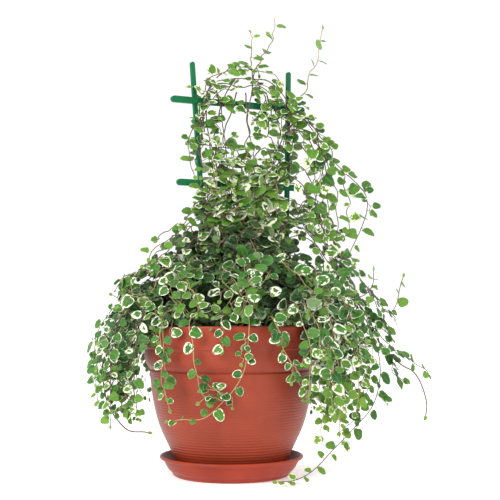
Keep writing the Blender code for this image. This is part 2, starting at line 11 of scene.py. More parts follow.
import bmesh
import bpy
import numpy as np
from bpy.props import FloatProperty, FloatVectorProperty, IntProperty, PointerProperty
from mathutils import Matrix, Vector


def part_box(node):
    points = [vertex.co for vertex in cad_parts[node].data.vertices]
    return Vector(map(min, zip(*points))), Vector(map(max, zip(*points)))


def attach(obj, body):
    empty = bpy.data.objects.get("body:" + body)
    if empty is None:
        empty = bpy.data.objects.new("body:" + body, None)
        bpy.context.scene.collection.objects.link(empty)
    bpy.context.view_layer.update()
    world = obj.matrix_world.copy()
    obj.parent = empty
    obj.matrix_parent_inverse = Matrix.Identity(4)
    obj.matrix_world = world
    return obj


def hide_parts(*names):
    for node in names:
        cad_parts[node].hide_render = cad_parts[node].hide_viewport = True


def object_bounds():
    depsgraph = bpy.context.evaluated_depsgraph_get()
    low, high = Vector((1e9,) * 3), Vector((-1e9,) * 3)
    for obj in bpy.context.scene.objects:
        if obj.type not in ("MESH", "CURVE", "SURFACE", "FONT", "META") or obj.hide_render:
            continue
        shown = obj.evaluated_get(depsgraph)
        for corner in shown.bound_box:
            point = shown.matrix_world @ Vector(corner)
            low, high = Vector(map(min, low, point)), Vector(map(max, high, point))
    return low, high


bl_info = {
    "name": "Creeping Fig in a Pot",
    "version": (1, 0, 0),
    "blender": (4, 5, 0),
    "location": "3D View > Sidebar > Creeping Fig",
    "description": "Builds a variegated creeping fig on a trellis in its pot",
    "category": "Object",
}

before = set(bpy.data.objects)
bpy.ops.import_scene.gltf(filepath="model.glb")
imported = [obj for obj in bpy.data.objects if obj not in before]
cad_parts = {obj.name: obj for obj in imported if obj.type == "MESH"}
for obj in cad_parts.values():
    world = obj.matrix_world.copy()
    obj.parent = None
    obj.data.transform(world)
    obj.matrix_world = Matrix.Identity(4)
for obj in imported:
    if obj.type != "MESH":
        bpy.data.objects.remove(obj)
CAD_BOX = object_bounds()

MM = 0.001
BODY = "root"
UP = Vector((0.0, 0.0, 1.0))

# Seeds of the random draws
SOIL_SEED = 31
CLIMBING_SEED = 301
TRAILING_SEED = 400

# Pot and saucer, from the frame's own boxes
RIM_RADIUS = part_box("pot")[1].x / MM
RIM_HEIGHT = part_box("pot")[1].z / MM
FOOT_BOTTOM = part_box("pot")[0].z / MM
SAUCER_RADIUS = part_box("saucer")[1].x / MM
SAUCER_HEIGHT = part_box("saucer")[1].z / MM
COLLAR_BOTTOM = RIM_HEIGHT - 22.0
COLLAR_INSIDE = RIM_RADIUS - 4.0
GROOVE_HEIGHT = 103.0
BOWL_TOP_RADIUS = 79.4
RIBS_BOTTOM = 8.0
RIBS_TOP = 89.0
FOOT_RADIUS = 50.0
FLOOR_TOP = FOOT_BOTTOM + 5.0
FLOOR_BOTTOM = FLOOR_TOP - 2.4
FLOOR_EDGE = 44.0
TURNED_SHARP = math.radians(38)
DRAIN_HOLES = 5
DRAIN_RADIUS = 4.0
DRAIN_RING = 30.0
BOWL_GUIDE = ((FOOT_RADIUS, FOOT_BOTTOM + 1.0), (59.4, 25.6), (70.2, 49.5), (76.2, 74.0),
              (BOWL_TOP_RADIUS, GROOVE_HEIGHT - 2.0))

# The pot's outer wall as stems and leaves keep clear of it: heights, and the radius at each
POT_OUTSIDE = ([0.0, 2.5, 25.6, 49.5, 74.0, 101.0, 113.0, 124.0, 124.1, 146.0],
               [70.0, 70.0, 70.0, 70.2, 76.2, 79.4, 84.2, 84.8, 86.0, 86.0])

# Soil: one crumb in so many is a white grain
SOIL_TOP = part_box("soil")[1].z / MM
SOIL_BOTTOM = FLOOR_TOP + 0.3
SOIL_RADIUS = 80.6
CRUMB_REACH = 79.0
WHITE_EVERY = 24

# Trellis: its plane is turned about the vertical, left side forward
TRELLIS_PLACE = Vector((10.0, 0.5, 0.0))
TRELLIS_YAW = math.radians(28.6)
TRELLIS_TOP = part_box("trellis")[1].z / MM
TRELLIS_BOTTOM = 40.0
TRELLIS_THICKNESS = 3.4
UPRIGHT_WIDTH = 4.4
UPRIGHT_FEET = (-26.8, 47.8)
UPRIGHT_TOPS = (-54.1, 53.0)
TRELLIS_SHARP = math.radians(40)
RUNG_HEIGHT = 6.2
RUNG_CENTRE = -2.6
RUNGS = ((360.6, 147.4), (281.5, 134.8), (202.4, 122.2))
ALONG = Vector((math.cos(TRELLIS_YAW), math.sin(TRELLIS_YAW), 0.0))
FRONT = Vector((math.sin(TRELLIS_YAW), -math.cos(TRELLIS_YAW), 0.0))

# Leaf outline, right half from the stalk to the tip: share of the width, share of the length
LEAF_OUTLINE = ((0.0, 0.0), (0.23, -0.045), (0.42, 0.04), (0.497, 0.23), (0.49, 0.46), (0.415, 0.70),
                (0.25, 0.90), (0.0, 1.0))
LEAF_RIB = (0.0, 0.07, 0.17, 0.31, 0.48, 0.66, 0.84, 1.0)
UPPER_COLUMNS = (-1.0, -0.55, 0.0, 0.55, 1.0)
LOWER_COLUMNS = (-1.0, 0.0, 1.0)

# Ranges in which the blades differ: cup, fold, droop, wave of the margin, its phase, twist, breadth
BLADE_RANGES = ((-0.4, 0.8), (-0.15, 0.6), (0.0, 0.8), (0.2, 1.0), (0, math.tau), (-0.6, 0.6), (0.86, 1.08))

# Leaves: tries to find a free place, room and cell size for that, clear gap to the solid pieces and ground
LEAF_TRIES = 7
LEAF_ROOM = 4.3
LEAF_CELL = 8
LEAF_GAP = 0.7
LEAF_GROUND = 2.4

# Radii of a stalk from the stem to the blade, and the places of the materials in a foliage piece
STALK_RADII = (0.42, 0.34, 0.24)
LEAF_MATERIAL = 0
STEM_MATERIAL = 1

# Stems: clear gap to the solid pieces, step of their paths, flat sides
STEM_GAP = 1.1
STEM_STEP = 3.2
STEM_SIDES = 6

# How far stems and leaves may pass the frame's box, where free shoots pass over the rim, and their roots
PROUD = 4.0
OVER_RIM = 84.0
ROOT_RADIUS = 71.0
ROOT_HEIGHT = 139.0

# Leaves turn from facing off the pot's axis to facing off the trellis over this range of heights
FACE_CHANGE = 175.0
FACE_CHANGE_OVER = 50.0

# Leaves at the sides turn to the front light: from this depth on, over this distance, this strongly
LIT_FROM = 45.0
LIT_OVER = 70.0
LIT_PULL = 1.1

# Leaves hang where a stem is this far out, and lie flatter above this height
HANG_FROM = 70.0
HANG_OVER = 35.0
FLAT_FROM = 155.0
FLAT_OVER = 60.0

# Stems that end above this height are green at the tip
GREEN_TIP_HEIGHT = 380.0

# The mound is thin where the collar is seen: twigs that face the front and end below this height,
# and fringe shoots within this angle of the middle bearing
COLLAR_SEEN_BELOW = 172.0
COLLAR_SEEN_FACING = 0.6
COLLAR_SEEN_MIDDLE = math.radians(275.0)
COLLAR_SEEN_HALF = math.radians(48.0)

# A leaf's values, and the corners, faces and attributes of a block of like shapes
Leaf = namedtuple("Leaf", "root neck forward across facing length youth cream")
Block = namedtuple("Block", "coords quads tris material place nature under")

# Climbing shoots in the trellis's own frame. First the number of the earlier shoot that bears it, or None
# where it grows from the mound; then leaf spacing, leaf size, youth at the tip and twigs.
# The points are along the trellis, in front of it, and height.
CLIMBING_SHOOTS = (
    (None, 11, 0.96, 0.4, 2, ((-18, 5.5, 258), (-27, 6.5, 284), (-38, 8, 318), (-42, 7, 350), (-41, 7, 370),
     (-30, 3, 381), (-8, 2, 386), (12, 1, 387), (28, 2, 386), (40, 5, 377), (47, 8, 362), (45, 9, 335),
     (38, 8, 305), (28, 6.5, 284), (18, 5.5, 258))),
    (0, 11, 0.92, 1.1, 0, ((12, 1, 387), (15, 0, 397), (23, -1, 409), (33, -2, 425), (39, -3, 439),
     (38, -3, 450))),
    (0, 11, 0.92, 1.1, 0, ((4, 2, 387), (8, 4, 403), (9, 4, 420), (8, 3, 434))),
    (0, 11, 0.92, 1.1, 0, ((45, 7, 368), (60, 7, 372), (71, 6, 381), (77, 3, 399), (87, 1, 414),
     (91, 0, 433), (93, 0, 447))),
    (0, 11, 1.04, 0.4, 2, ((46, 8, 345), (62, 9, 352), (76, 8, 341), (88, 6, 327), (97, 5, 312),
     (107, 6, 303), (122, 8, 296), (134, 10, 284), (139, 12, 270), (136, 14, 254), (128, 16, 238),
     (118, 16, 222), (110, 14, 206))),
    (0, 11, 1.04, 0.4, 2, ((45, 9, 330), (58, 13, 337), (74, 14, 322), (84, 13, 304), (87, 12, 288),
     (84, 14, 268), (80, 15, 250))),
    (0, 11, 0.96, 0.4, 0, ((-42, 7, 345), (-54, 9, 337), (-62, 9, 321), (-61, 9, 303), (-56, 10, 287))),
    (None, 20, 0.96, 0.4, 0, ((-22, 6, 236), (-38, 11, 246), (-54, 12, 246), (-68, 12, 238), (-84, 14, 226),
     (-97, 14, 220), (-104, 14, 208))),
    (0, 20, 0.96, 0.4, 2, ((-16, 2, 383), (-22, 5, 366), (-24, 5, 345), (-22, 5, 320), (-15, 5, 286),
     (-12, 5, 272))),
    (0, 20, 0.96, 0.4, 2, ((10, 1, 384), (7, 6, 367), (2, 6, 346), (8, 5, 322), (13, 5, 286),
     (12, 5, 272))),
    (None, 11, 0.96, 0.4, 2, ((22, -5, 262), (44, -8, 280), (64, -6, 286), (80, -2, 272), (88, 2, 254),
     (94, 4, 234), (98, 4, 212))),
)

# Finer shoots beside them: leaf spacing, share of cream, youth at the tip, twigs, and the same points
ARCH_SHOOTS = (
    (9, 0.08, 0.6, 1, ((-44, 6, 330), (-46, 7, 352), (-43, 6, 372), (-36, 3, 384), (-20, 3, 392),
     (0, 3, 396), (18, 2, 397), (34, 2, 394), (44, 5, 384))),
    (9, 0.08, 0.4, 2, ((-40, -6, 335), (-43, -6, 358), (-34, -5, 374), (-14, -5, 380), (10, -5, 381),
     (30, -6, 378), (47, -7, 366), (50, -8, 344), (44, -8, 318))),
    (8, 0.08, 0.6, 2, ((-46, 5, 300), (-49, 6, 322), (-45, 7, 344), (-36, 6, 362), (-22, 5, 372),
     (-6, 5, 376))),
    (8, 0.08, 0.7, 2, ((50, 6, 300), (55, 7, 322), (53, 7, 345), (44, 6, 366), (30, 5, 378), (14, 5, 384))),
    (8, 0.08, 0.4, 0, ((34, -5, 296), (44, -7, 318), (54, -8, 338), (64, -8, 346), (74, -7, 334),
     (80, -6, 316))),
    (8, 0.08, 0.4, 0, ((-46, 6, 296), (-50, 8, 312), (-49, 8, 330), (-44, 7, 342))),
    (8, 0.08, 0.4, 0, ((-44, -6, 290), (-48, -7, 310), (-46, -7, 330), (-40, -6, 348))),
    (5, 0.05, 1.0, 2, ((22, 5, 372), (26, 7, 364), (23, 8, 354), (27, 8, 344))),
    (6, 0.05, 1.0, 1, ((46, 7, 360), (52, 9, 368), (60, 9, 362), (66, 9, 352))),
    (8, 0.08, 0.5, 0, ((-30, 4, 384), (-16, 2, 394), (2, 2, 398), (20, 2, 394))),
)
WINDOW_SHOOTS = (
    (18, 0.06, 0.2, 1, ((-30, 4, 372), (-27, 6, 352), (-34, 6, 334), (-31, 6, 312), (-22, 7, 290))),
    (60, 0.06, 0.2, 0, ((-8, 4, 372), (-14, 7, 356), (-22, 8, 340), (-22, 8, 322), (-12, 8, 306),
     (-2, 7, 294))),
    (40, 0.06, 0.3, 0, ((2, 4, 372), (4, 6, 348), (2, 5, 326), (8, 6, 304), (12, 7, 286))),
    (15, 0.08, 0.2, 1, ((26, 4, 372), (30, 6, 352), (27, 6, 336), (33, 6, 316), (32, 7, 290))),
    (14, 0.08, 0.2, 0, ((36, 4, 366), (36, 6, 350), (40, 6, 332), (36, 6, 312), (38, 7, 290))),
    (9, 0.08, 0.4, 1, ((-36, 6, 300), (-28, 7, 316), (-16, 7, 318), (-6, 7, 308), (2, 7, 296))),
    (9, 0.08, 0.4, 1, ((4, 7, 292), (10, 8, 308), (22, 8, 318), (34, 8, 314), (42, 8, 300))),
    (13, 0.08, 0.3, 1, ((44, 6, 330), (52, 9, 318), (50, 10, 304), (40, 9, 296), (30, 8, 292))),
    (10, 0.08, 0.3, 1, ((-40, 6, 322), (-34, 8, 306), (-26, 8, 296), (-14, 7, 290))),
)
CASCADE_SHOOTS = (
    (12, 0.1, 0.6, 0, ((47, 9, 352), (60, 13, 356), (72, 16, 342), (80, 17, 322), (86, 18, 300),
     (88, 19, 276), (86, 20, 252), (82, 21, 232))),
    (12, 0.1, 0.6, 1, ((47, 8, 338), (66, 12, 338), (82, 14, 320), (92, 15, 300), (98, 16, 280),
     (100, 18, 258), (98, 18, 236), (94, 18, 216))),
    (12, 0.1, 0.5, 0, ((45, 8, 318), (60, 12, 322), (70, 14, 306), (74, 15, 286), (76, 16, 264),
     (74, 18, 244))),
    (12, 0.1, 0.5, 0, ((46, 9, 340), (64, 10, 350), (82, 9, 338), (98, 8, 320), (110, 9, 300),
     (116, 11, 278), (116, 13, 256), (112, 15, 232))),
    (12, 0.1, 0.5, 0, ((38, -4, 300), (54, -8, 312), (72, -8, 304), (84, -6, 286), (92, -4, 266),
     (98, 0, 244), (104, 4, 222))),
    (8, 0.1, 0.3, 2, ((30, 8, 280), (46, 14, 290), (60, 18, 280), (70, 20, 262), (78, 22, 242),
     (84, 22, 222))),
    (8, 0.1, 0.3, 2, ((34, 8, 262), (50, 16, 268), (66, 20, 256), (78, 22, 238), (90, 22, 220),
     (98, 20, 202), (102, 20, 180))),
    (8, 0.1, 0.3, 2, ((42, 2, 250), (62, 8, 262), (80, 12, 254), (92, 14, 236), (104, 14, 218),
     (114, 12, 200), (118, 12, 178))),
    (8, 0.1, 0.3, 2, ((36, -8, 256), (56, -12, 262), (74, -12, 248), (88, -10, 230), (98, -8, 210),
     (104, -8, 188))),
    (8, 0.1, 0.3, 2, ((30, 10, 236), (48, 20, 246), (66, 28, 236), (80, 34, 216), (88, 38, 194),
     (92, 40, 170))),
    (8, 0.1, 0.3, 2, ((36, 6, 240), (58, 12, 250), (80, 20, 240), (96, 26, 218), (106, 30, 194),
     (110, 34, 168))),
    (8, 0.1, 0.3, 2, ((40, -2, 232), (62, -2, 244), (86, 2, 232), (104, 6, 212), (116, 8, 190),
     (122, 10, 166))),
    (8, 0.1, 0.3, 2, ((28, 12, 224), (46, 26, 232), (62, 38, 222), (74, 46, 202), (82, 52, 180),
     (86, 56, 156))),
)
LEFT_TOP_SHOOTS = (
    (7, 0.12, 0.3, 2, ((-24, 7, 196), (-33, 9, 214), (-39, 9, 236), (-41, 8, 258), (-43, 7, 278))),
    (7, 0.12, 0.4, 2, ((-30, 8, 200), (-43, 9, 220), (-48, 9, 244), (-47, 8, 264), (-50, 8, 284))),
    (8, 0.12, 0.4, 1, ((-36, 6, 284), (-41, 8, 268), (-40, 9, 250), (-35, 9, 232))),
    (8, 0.12, 0.3, 2, ((-22, 10, 190), (-34, 13, 202), (-44, 13, 216), (-52, 12, 226))),
    (15, 0.06, 0.2, 0, ((-26, 8, 224), (-44, 14, 238), (-62, 16, 236), (-80, 18, 222), (-94, 18, 208),
     (-104, 16, 196))),
    (12, 0.08, 0.6, 0, ((-24, 6, 214), (-42, 12, 226), (-60, 14, 224), (-78, 16, 212), (-96, 18, 206),
     (-112, 18, 200))),
    (17, 0.06, 0.2, 0, ((-30, 2, 218), (-48, 4, 234), (-66, 4, 240), (-84, 4, 234), (-96, 6, 222))),
    (16, 0.06, 0.2, 0, ((-22, 8, 230), (-34, 12, 244), (-48, 14, 252), (-62, 14, 250), (-74, 16, 240))),
    (12, 0.08, 0.3, 1, ((-26, -6, 222), (-44, -10, 236), (-62, -12, 232), (-80, -12, 216),
     (-92, -12, 200))),
    (12, 0.06, 0.2, 0, ((-34, 8, 250), (-46, 8, 262), (-56, 8, 258), (-64, 8, 246))),
)

# Trailing shoots that hang free over the rim:
# bearing of the root, swing on the way, reach from the axis, height of the arch, height of the tip
ARCHING_SHOOTS = {
    "left_shoot_1": (150, 4, 112, 170, 72),
    "left_shoot_2": (164, 3, 124, 176, 100),
    "left_shoot_3": (177, 4, 134, 172, 88),
    "left_shoot_5": (203, 2, 124, 168, 54),
    "left_shoot_6": (215, 4, 112, 164, 66),
    "right_shoot_1": (310, 4, 106, 166, 86),
    "right_shoot_2": (323, 6, 119, 176, 48),
    "right_shoot_3": (336, 4, 128, 184, 72),
    "right_shoot_8": (32, 3, 130, 180, 88),
    "right_shoot_9": (46, 3, 119, 174, 58),
    "back_shoot_1": (62, 4, 113, 182, 82),
    "back_shoot_2": (79, -3, 117, 174, 50),
    "back_shoot_3": (97, 3, 113, 186, 94),
    "back_shoot_4": (115, -3, 116, 176, 58),
    "back_shoot_5": (133, 3, 117, 182, 84),
}

# Trailing shoots whose routes follow the pot's front or reach far out, from the root to the tip
ROUTED_SHOOTS = {
    "left_shoot_4": ((-69, -14, 139), (-75, -17, 154), (-90, -22, 166), (-106, -27, 156), (-118, -31, 128),
                     (-121, -34, 92), (-112, -36, 64), (-96, -38, 49), (-78, -40, 45)),
    "front_shoot_1": ((-50, -50, 139), (-54, -56, 151), (-60, -68, 156), (-62, -76, 144), (-61, -76, 116),
                      (-59, -74, 88), (-55, -72, 70)),
    "front_shoot_2": ((-31, -63, 139), (-33, -70, 150), (-35, -82, 155), (-36, -89, 144), (-33, -91, 124),
                      (-30, -90, 101), (-25, -89, 88), (-15, -88, 80)),
    "front_shoot_3": ((14, -70, 139), (16, -76, 149), (17, -88, 154), (17, -94, 142), (16, -95, 126),
                      (12, -95, 104), (-6, -93, 80), (-19, -90, 66), (-32, -85, 61), (-45, -78, 61),
                      (-57, -69, 60)),
    "front_shoot_4": ((30, -64, 139), (33, -71, 150), (38, -82, 155), (43, -87, 142), (51, -83, 120),
                      (61, -75, 98), (69, -67, 80)),
    "right_shoot_4": ((69, -15, 139), (78, -17, 158), (97, -20, 178), (122, -24, 160), (139, -24, 120),
                      (138, -20, 74), (116, -24, 45), (93, -36, 26), (74, -48, 10), (59, -58, 3.4),
                      (43, -70, 4)),
    "right_shoot_5": ((71, -1, 139), (79, 0, 164), (98, 1, 186), (124, 1, 164), (145, 1, 128),
                      (163, 0, 108), (176, 0, 100), (185, 0, 87), (189, 0, 72), (188, 0, 57)),
    "right_shoot_6": ((70, 13, 139), (75, 15, 168), (88, 17, 200), (111, 18, 207), (131, 18, 186),
                      (145, 17, 166), (156, 15, 156), (163, 14, 165), (167, 14, 178), (170, 14, 191)),
    "right_shoot_7": ((65, 28, 139), (74, 32, 158), (92, 38, 180), (116, 38, 174), (135, 34, 174),
                      (142, 32, 186), (142, 31, 199)),
}

# Leafy side shoots that leave a trailing shoot part of the way along
SIDE_SHOOTS = {
    "right_shoot_5": (((134, 1, 146), (144, -4, 136), (156, -7, 122), (170, -8, 112), (182, -8, 106),
                       (190, -8, 98)),
                      ((146, 1, 127), (154, 4, 114), (158, 6, 100), (164, 6, 92), (172, 6, 90)),
                      ((125, 1, 162), (134, 6, 152), (148, 8, 140), (158, 8, 132))),
    "right_shoot_6": (((131, 18, 186), (138, 14, 172), (146, 10, 158), (150, 8, 142), (156, 8, 132)),),
    "right_shoot_7": (((116, 38, 174), (124, 32, 164), (130, 26, 150), (128, 22, 136)),),
    "left_shoot_4": (((-112, -29, 144), (-122, -32, 120), (-128, -34, 96), (-126, -36, 74)),
                     ((-119, -33, 110), (-110, -36, 84), (-98, -38, 62), (-90, -40, 58))),
    "left_shoot_5": (((-108, -46, 128), (-104, -50, 98), (-96, -52, 74), (-86, -50, 60)),),
    "front_shoot_1": (((-61, -77, 140), (-60, -80, 124), (-62, -80, 108), (-61, -78, 92), (-58, -77, 80)),),
    "front_shoot_2": (((-30, -91, 103), (-24, -94, 97), (-16, -95, 92), (-8, -94, 90)),),
    "front_shoot_3": (((17, -95, 138), (13, -98, 131), (10, -98, 122), (12, -97, 113)),
                      ((-2, -94, 83), (-10, -96, 88), (-18, -95, 90), (-27, -92, 87)),
                      ((-6, -93, 79), (-12, -95, 82), (-20, -94, 84), (-26, -92, 79))),
    "front_shoot_4": (((39, -83, 151), (45, -90, 140), (49, -89, 127)),
                      ((52, -83, 118), (60, -81, 106), (67, -74, 94), (70, -69, 80))),
}

# How each trailing shoot is dressed: companions beside it, twigs on it, leaf size, share of cream,
# youth at the tip, share of its length that bears leaves
TRAILING_DRESS = {
    "left_shoot_1": (2, 2, 0.92, 0.11, 0.5, 1.0),
    "left_shoot_2": (4, 2, 0.90, 0.12, 0.5, 1.0),
    "left_shoot_3": (5, 2, 0.88, 0.12, 0.5, 1.0),
    "left_shoot_4": (6, 3, 0.86, 0.13, 0.9, 0.85),
    "left_shoot_5": (5, 3, 0.86, 0.13, 0.8, 1.0),
    "left_shoot_6": (0, 1, 0.86, 0.13, 0.6, 1.0),
    "front_shoot_1": (0, 2, 0.80, 0.06, 0.5, 1.0),
    "front_shoot_2": (0, 1, 0.78, 0.09, 0.6, 1.0),
    "front_shoot_3": (0, 2, 0.78, 0.09, 0.6, 1.0),
    "front_shoot_4": (0, 2, 0.78, 0.16, 0.8, 1.0),
    "right_shoot_1": (0, 2, 0.90, 0.18, 1.0, 1.0),
    "right_shoot_2": (6, 3, 0.94, 0.20, 1.0, 1.0),
    "right_shoot_3": (6, 3, 0.94, 0.19, 1.0, 1.0),
    "right_shoot_4": (5, 2, 0.94, 0.10, 1.0, 1.0),
    "right_shoot_5": (2, 3, 1.00, 0.08, 0.7, 0.76),
    "right_shoot_6": (1, 3, 1.04, 0.06, 0.9, 1.0),
    "right_shoot_7": (2, 3, 1.04, 0.10, 0.9, 1.0),
    **dict.fromkeys(("right_shoot_8", "right_shoot_9", "back_shoot_1", "back_shoot_2", "back_shoot_3",
                     "back_shoot_4", "back_shoot_5"), (3, 2, 0.98, 0.08, 0.5, 1.0)),
}

# What they share by side: leaf spacing, paleness of the stems, thickness, darkening of the companions' leaves
# towards their roots
SIDE_DRESS = {
    "left": (9.0, 0.08, 1.0, 0.9),
    "front": (13.0, 0.55, 0.85, 0.3),
    "right": (9.0, 0.08, 1.0, 0.3),
    "back": (9.0, 0.08, 1.0, 0.3),
}

# Shoots with tan stems, how pale those are, and the thickness of shoots whose ends are bare
TAN_SHOOTS = ("right_shoot_1", "right_shoot_2", "right_shoot_3")
TAN = 0.3
BARE_END_THICKNESS = 1.5

# The mound's leafy reach from the pot's axis at the sides, by height
MOUND_HEIGHTS = (140.0, 152.0, 165.0, 180.0, 195.0, 208.0, 222.0, 238.0)
MOUND_REACHES = (84.0, 100.0, 108.0, 104.0, 92.0, 76.0, 58.0, 44.0)

# Steps that spread a numbered series evenly in two ways
GOLDEN = 0.7548776662
SILVER = 0.5698402910

# Stage, in metres: lights by name with size and place, and a camera at the photograph's viewing angle
LIGHTS = (("key", 0.85, (-1.05, -1.15, 1.10)), ("fill", 0.8, (1.3, -0.7, 0.7)))
LIGHT_AIM = Vector((0.0, 0.0, 0.2))
FLOOR_REACH = 60.0
CAMERA_PLACE = (0.018, -1.12, 0.173)
CAMERA_PITCH = 92.3
LENS = 82.6
SENSOR = 36.0


def colour_property(name, description, default):
    return FloatVectorProperty(name=name, description=description, subtype="COLOR", size=3, min=0.0, max=1.0,
                               default=default)


def length_property(name, description, low, high, default):
    return FloatProperty(name=name, description=description, subtype="DISTANCE", unit="LENGTH", min=low,
                         max=high, default=default)


def share_property(name, description, low, high, default):
    return FloatProperty(name=name, description=description, subtype="FACTOR", min=low, max=high,
                         default=default)


def power_property(name, description, default):
    return FloatProperty(name=name, description=description, unit="POWER", min=0.0, max=500.0,
                         default=default)


def count_property(name, description, low, high, default):
    return IntProperty(name=name, description=description, min=low, max=high, default=default)


class PotSettings(bpy.types.PropertyGroup):
    colour: colour_property("Pot colour", "Colour of the pot's plastic", (0.262, 0.033, 0.011))
    saucer_colour: colour_property("Saucer colour", "Colour of the saucer's plastic", (0.290, 0.031, 0.012))
    roughness: share_property("Roughness", "Roughness of the plastic", 0.0, 1.0, 0.40)
    rib_pitch: length_property("Rib pitch", "Height of one fine rib on the bowl", 0.001, 0.01, 0.0027)
    rib_depth: length_property("Rib depth", "Depth of the fine ribs on the bowl", 0.0, 0.002, 0.00032)
    sides: count_property("Sides", "Flat sides round the pot and saucer", 32, 256, 128)


class SoilSettings(bpy.types.PropertyGroup):
    colour: colour_property("Soil colour", "Colour of the damp potting soil", (0.017, 0.012, 0.009))
    crumbs: count_property("Crumbs", "Number of loose crumbs on the soil", 0, 4000, 900)
    crumb_size: length_property("Crumb size", "Size of the largest crumbs", 0.0005, 0.01, 0.0026)


class TrellisSettings(bpy.types.PropertyGroup):
    colour: colour_property("Trellis colour", "Colour of the trellis's plastic", (0.001, 0.108, 0.036))
    edge: length_property("Edge radius", "Radius of the moulded edges", 0.0001, 0.002, 0.0010)


class FoliageSettings(bpy.types.PropertyGroup):
    leaf_length: length_property("Leaf length", "Length of a grown leaf", 0.004, 0.04, 0.0118)
    leaf_width: share_property("Leaf width", "Width of a leaf as a share of its length", 0.3, 1.2, 0.88)
    leaf_thickness: length_property("Leaf thickness", "Thickness of a blade's middle", 0.0001, 0.002, 0.00045)
    stem_radius: length_property("Stem radius", "Radius of a shoot at its root", 0.0001, 0.003, 0.00062)
    mound_twigs: count_property("Mound twigs", "Short twigs in the mound", 0, 600, 245)
    column_twigs: count_property("Column shoots", "Shoots that climb the lower trellis", 0, 200, 64)
    runners: count_property("Runners", "Thin tan runners over the front of the mound", 0, 100, 28)
    fringe: count_property("Rim fringe", "Short shoots that lean over the rim", 0, 120, 44)
    green: colour_property("Green", "Colour of a grown leaf", (0.044, 0.178, 0.014))
    deep_green: colour_property("Deep green", "Colour of an old leaf", (0.009, 0.060, 0.010))
    grey_green: colour_property("Grey-green", "Colour of patches inside the margin", (0.090, 0.215, 0.064))
    young_green: colour_property("Young green", "Colour of a young leaf", (0.190, 0.360, 0.030))
    cream: colour_property("Cream", "Colour of the leaf margins", (0.88, 0.90, 0.70))


class StageSettings(bpy.types.PropertyGroup):
    floor_colour: colour_property("Floor colour", "Colour of the floor", (0.96, 0.96, 0.96))
    surround: share_property("Surround", "Brightness of the white surround", 0.0, 5.0, 1.06)
    key: power_property("Key light", "Power of the large light, front left and above", 26.0)
    fill: power_property("Fill light", "Power of the light on the right", 6.0)


SETTINGS = {
    "fig_pot": PotSettings,
    "fig_soil": SoilSettings,
    "fig_trellis": TrellisSettings,
    "fig_foliage": FoliageSettings,
    "fig_stage": StageSettings,
}


class Shade:
    """A shader socket that can stand in an expression; each operation adds a Math node."""

    def __init__(self, graph, socket):
        self.graph = graph
        self.socket = socket

    def __add__(self, other):
        return self.graph.math("ADD", self, other)

    __radd__ = __add__

    def __sub__(self, other):
        return self.graph.math("SUBTRACT", self, other)

    def __rsub__(self, other):
        return self.graph.math("SUBTRACT", other, self)

    def __mul__(self, other):
        return self.graph.math("MULTIPLY", self, other)

    __rmul__ = __mul__

    def __abs__(self):
        return self.graph.math("ABSOLUTE", self, 0.0)


class Graph:
    """The node tree of one material."""

    def __init__(self, name):
        self.material = bpy.data.materials.new(name)
        self.material.use_nodes = True
        self.tree = self.material.node_tree
        self.tree.nodes.clear()

    def node(self, kind, settings=None, inputs=None, output=0):
        """Add a node: its settings first, then the values or links of its sockets."""
        made = self.tree.nodes.new(kind)
        for name, value in (settings or {}).items():
            setattr(made, name, value)
        for key, value in (inputs or {}).items():
            socket = self.find(made.inputs, key)
            if isinstance(value, Shade):
                self.tree.links.new(value.socket, socket)
            elif hasattr(socket.default_value, "__len__") and len(value) < len(socket.default_value):
                socket.default_value = (*value, 1.0)
            else:
                socket.default_value = value
        return Shade(self, self.find(made.outputs, output)) if made.outputs else made

    @staticmethod
    def find(sockets, key):
        """A socket by its number, its identifier or its name."""
        if isinstance(key, int):
            return sockets[key]
        known = {socket.identifier: socket for socket in sockets}
        return known[key] if key in known else sockets[key]

    def math(self, operation, a, b):
        return self.node("ShaderNodeMath", {"operation": operation}, {0: a, 1: b})

    def mix(self, factor, a, b):
        inputs = {"Factor_Float": factor, "A_Color": a, "B_Color": b}
        return self.node("ShaderNodeMix", {"data_type": "RGBA"}, inputs, "Result_Color")

    def smooth(self, value, low, high):
        """0 below low, 1 above high, smooth between; low may be above high."""
        inputs = {"Value": value, "From Min": low, "From Max": high}
        return self.node("ShaderNodeMapRange", {"interpolation_type": "SMOOTHSTEP"}, inputs, "Result")

    def noise(self, place, scale, detail=2.0, roughness=0.5):
        inputs = {"Vector": place, "Scale": scale, "Detail": detail, "Roughness": roughness}
        return self.node("ShaderNodeTexNoise", inputs=inputs, output="Fac")

    def stretch(self, place, x, y, z):
        inputs = {0: place, 1: (x, y, z)}
        return self.node("ShaderNodeVectorMath", {"operation": "MULTIPLY"}, inputs, "Vector")

    def place(self):
        return self.node("ShaderNodeTexCoord", output="Object")

    def split(self, vector):
        """The three parts of a vector."""
        x = self.node("ShaderNodeSeparateXYZ", inputs={"Vector": vector}, output="X")
        sockets = x.socket.node.outputs
        return x, Shade(self, sockets["Y"]), Shade(self, sockets["Z"])

    def attribute(self, name, output="Vector"):
        settings = {"attribute_type": "GEOMETRY", "attribute_name": name}
        return self.node("ShaderNodeAttribute", settings, output=output)

    def bump(self, height, strength, distance):
        inputs = {"Strength": strength, "Distance": distance, "Height": height}
        return self.node("ShaderNodeBump", inputs=inputs, output="Normal")

    def surface(self, **inputs):
        """A Principled shader; sockets are named with underscores for spaces."""
        named = {name.replace("_", " "): value for name, value in inputs.items()}
        return self.node("ShaderNodeBsdfPrincipled", inputs=named, output="BSDF")

    def finish(self, shader, look):
        """Join the shader to the output; look is the plain colour for views without shading."""
        self.node("ShaderNodeOutputMaterial", inputs={"Surface": shader})
        self.material.diffuse_color = (*look, 1.0)
        return self.material


def scaled(colour, factor, plus=0.0):
    """A colour made darker or lighter."""
    return tuple(min(1.0, c * factor + plus) for c in colour)


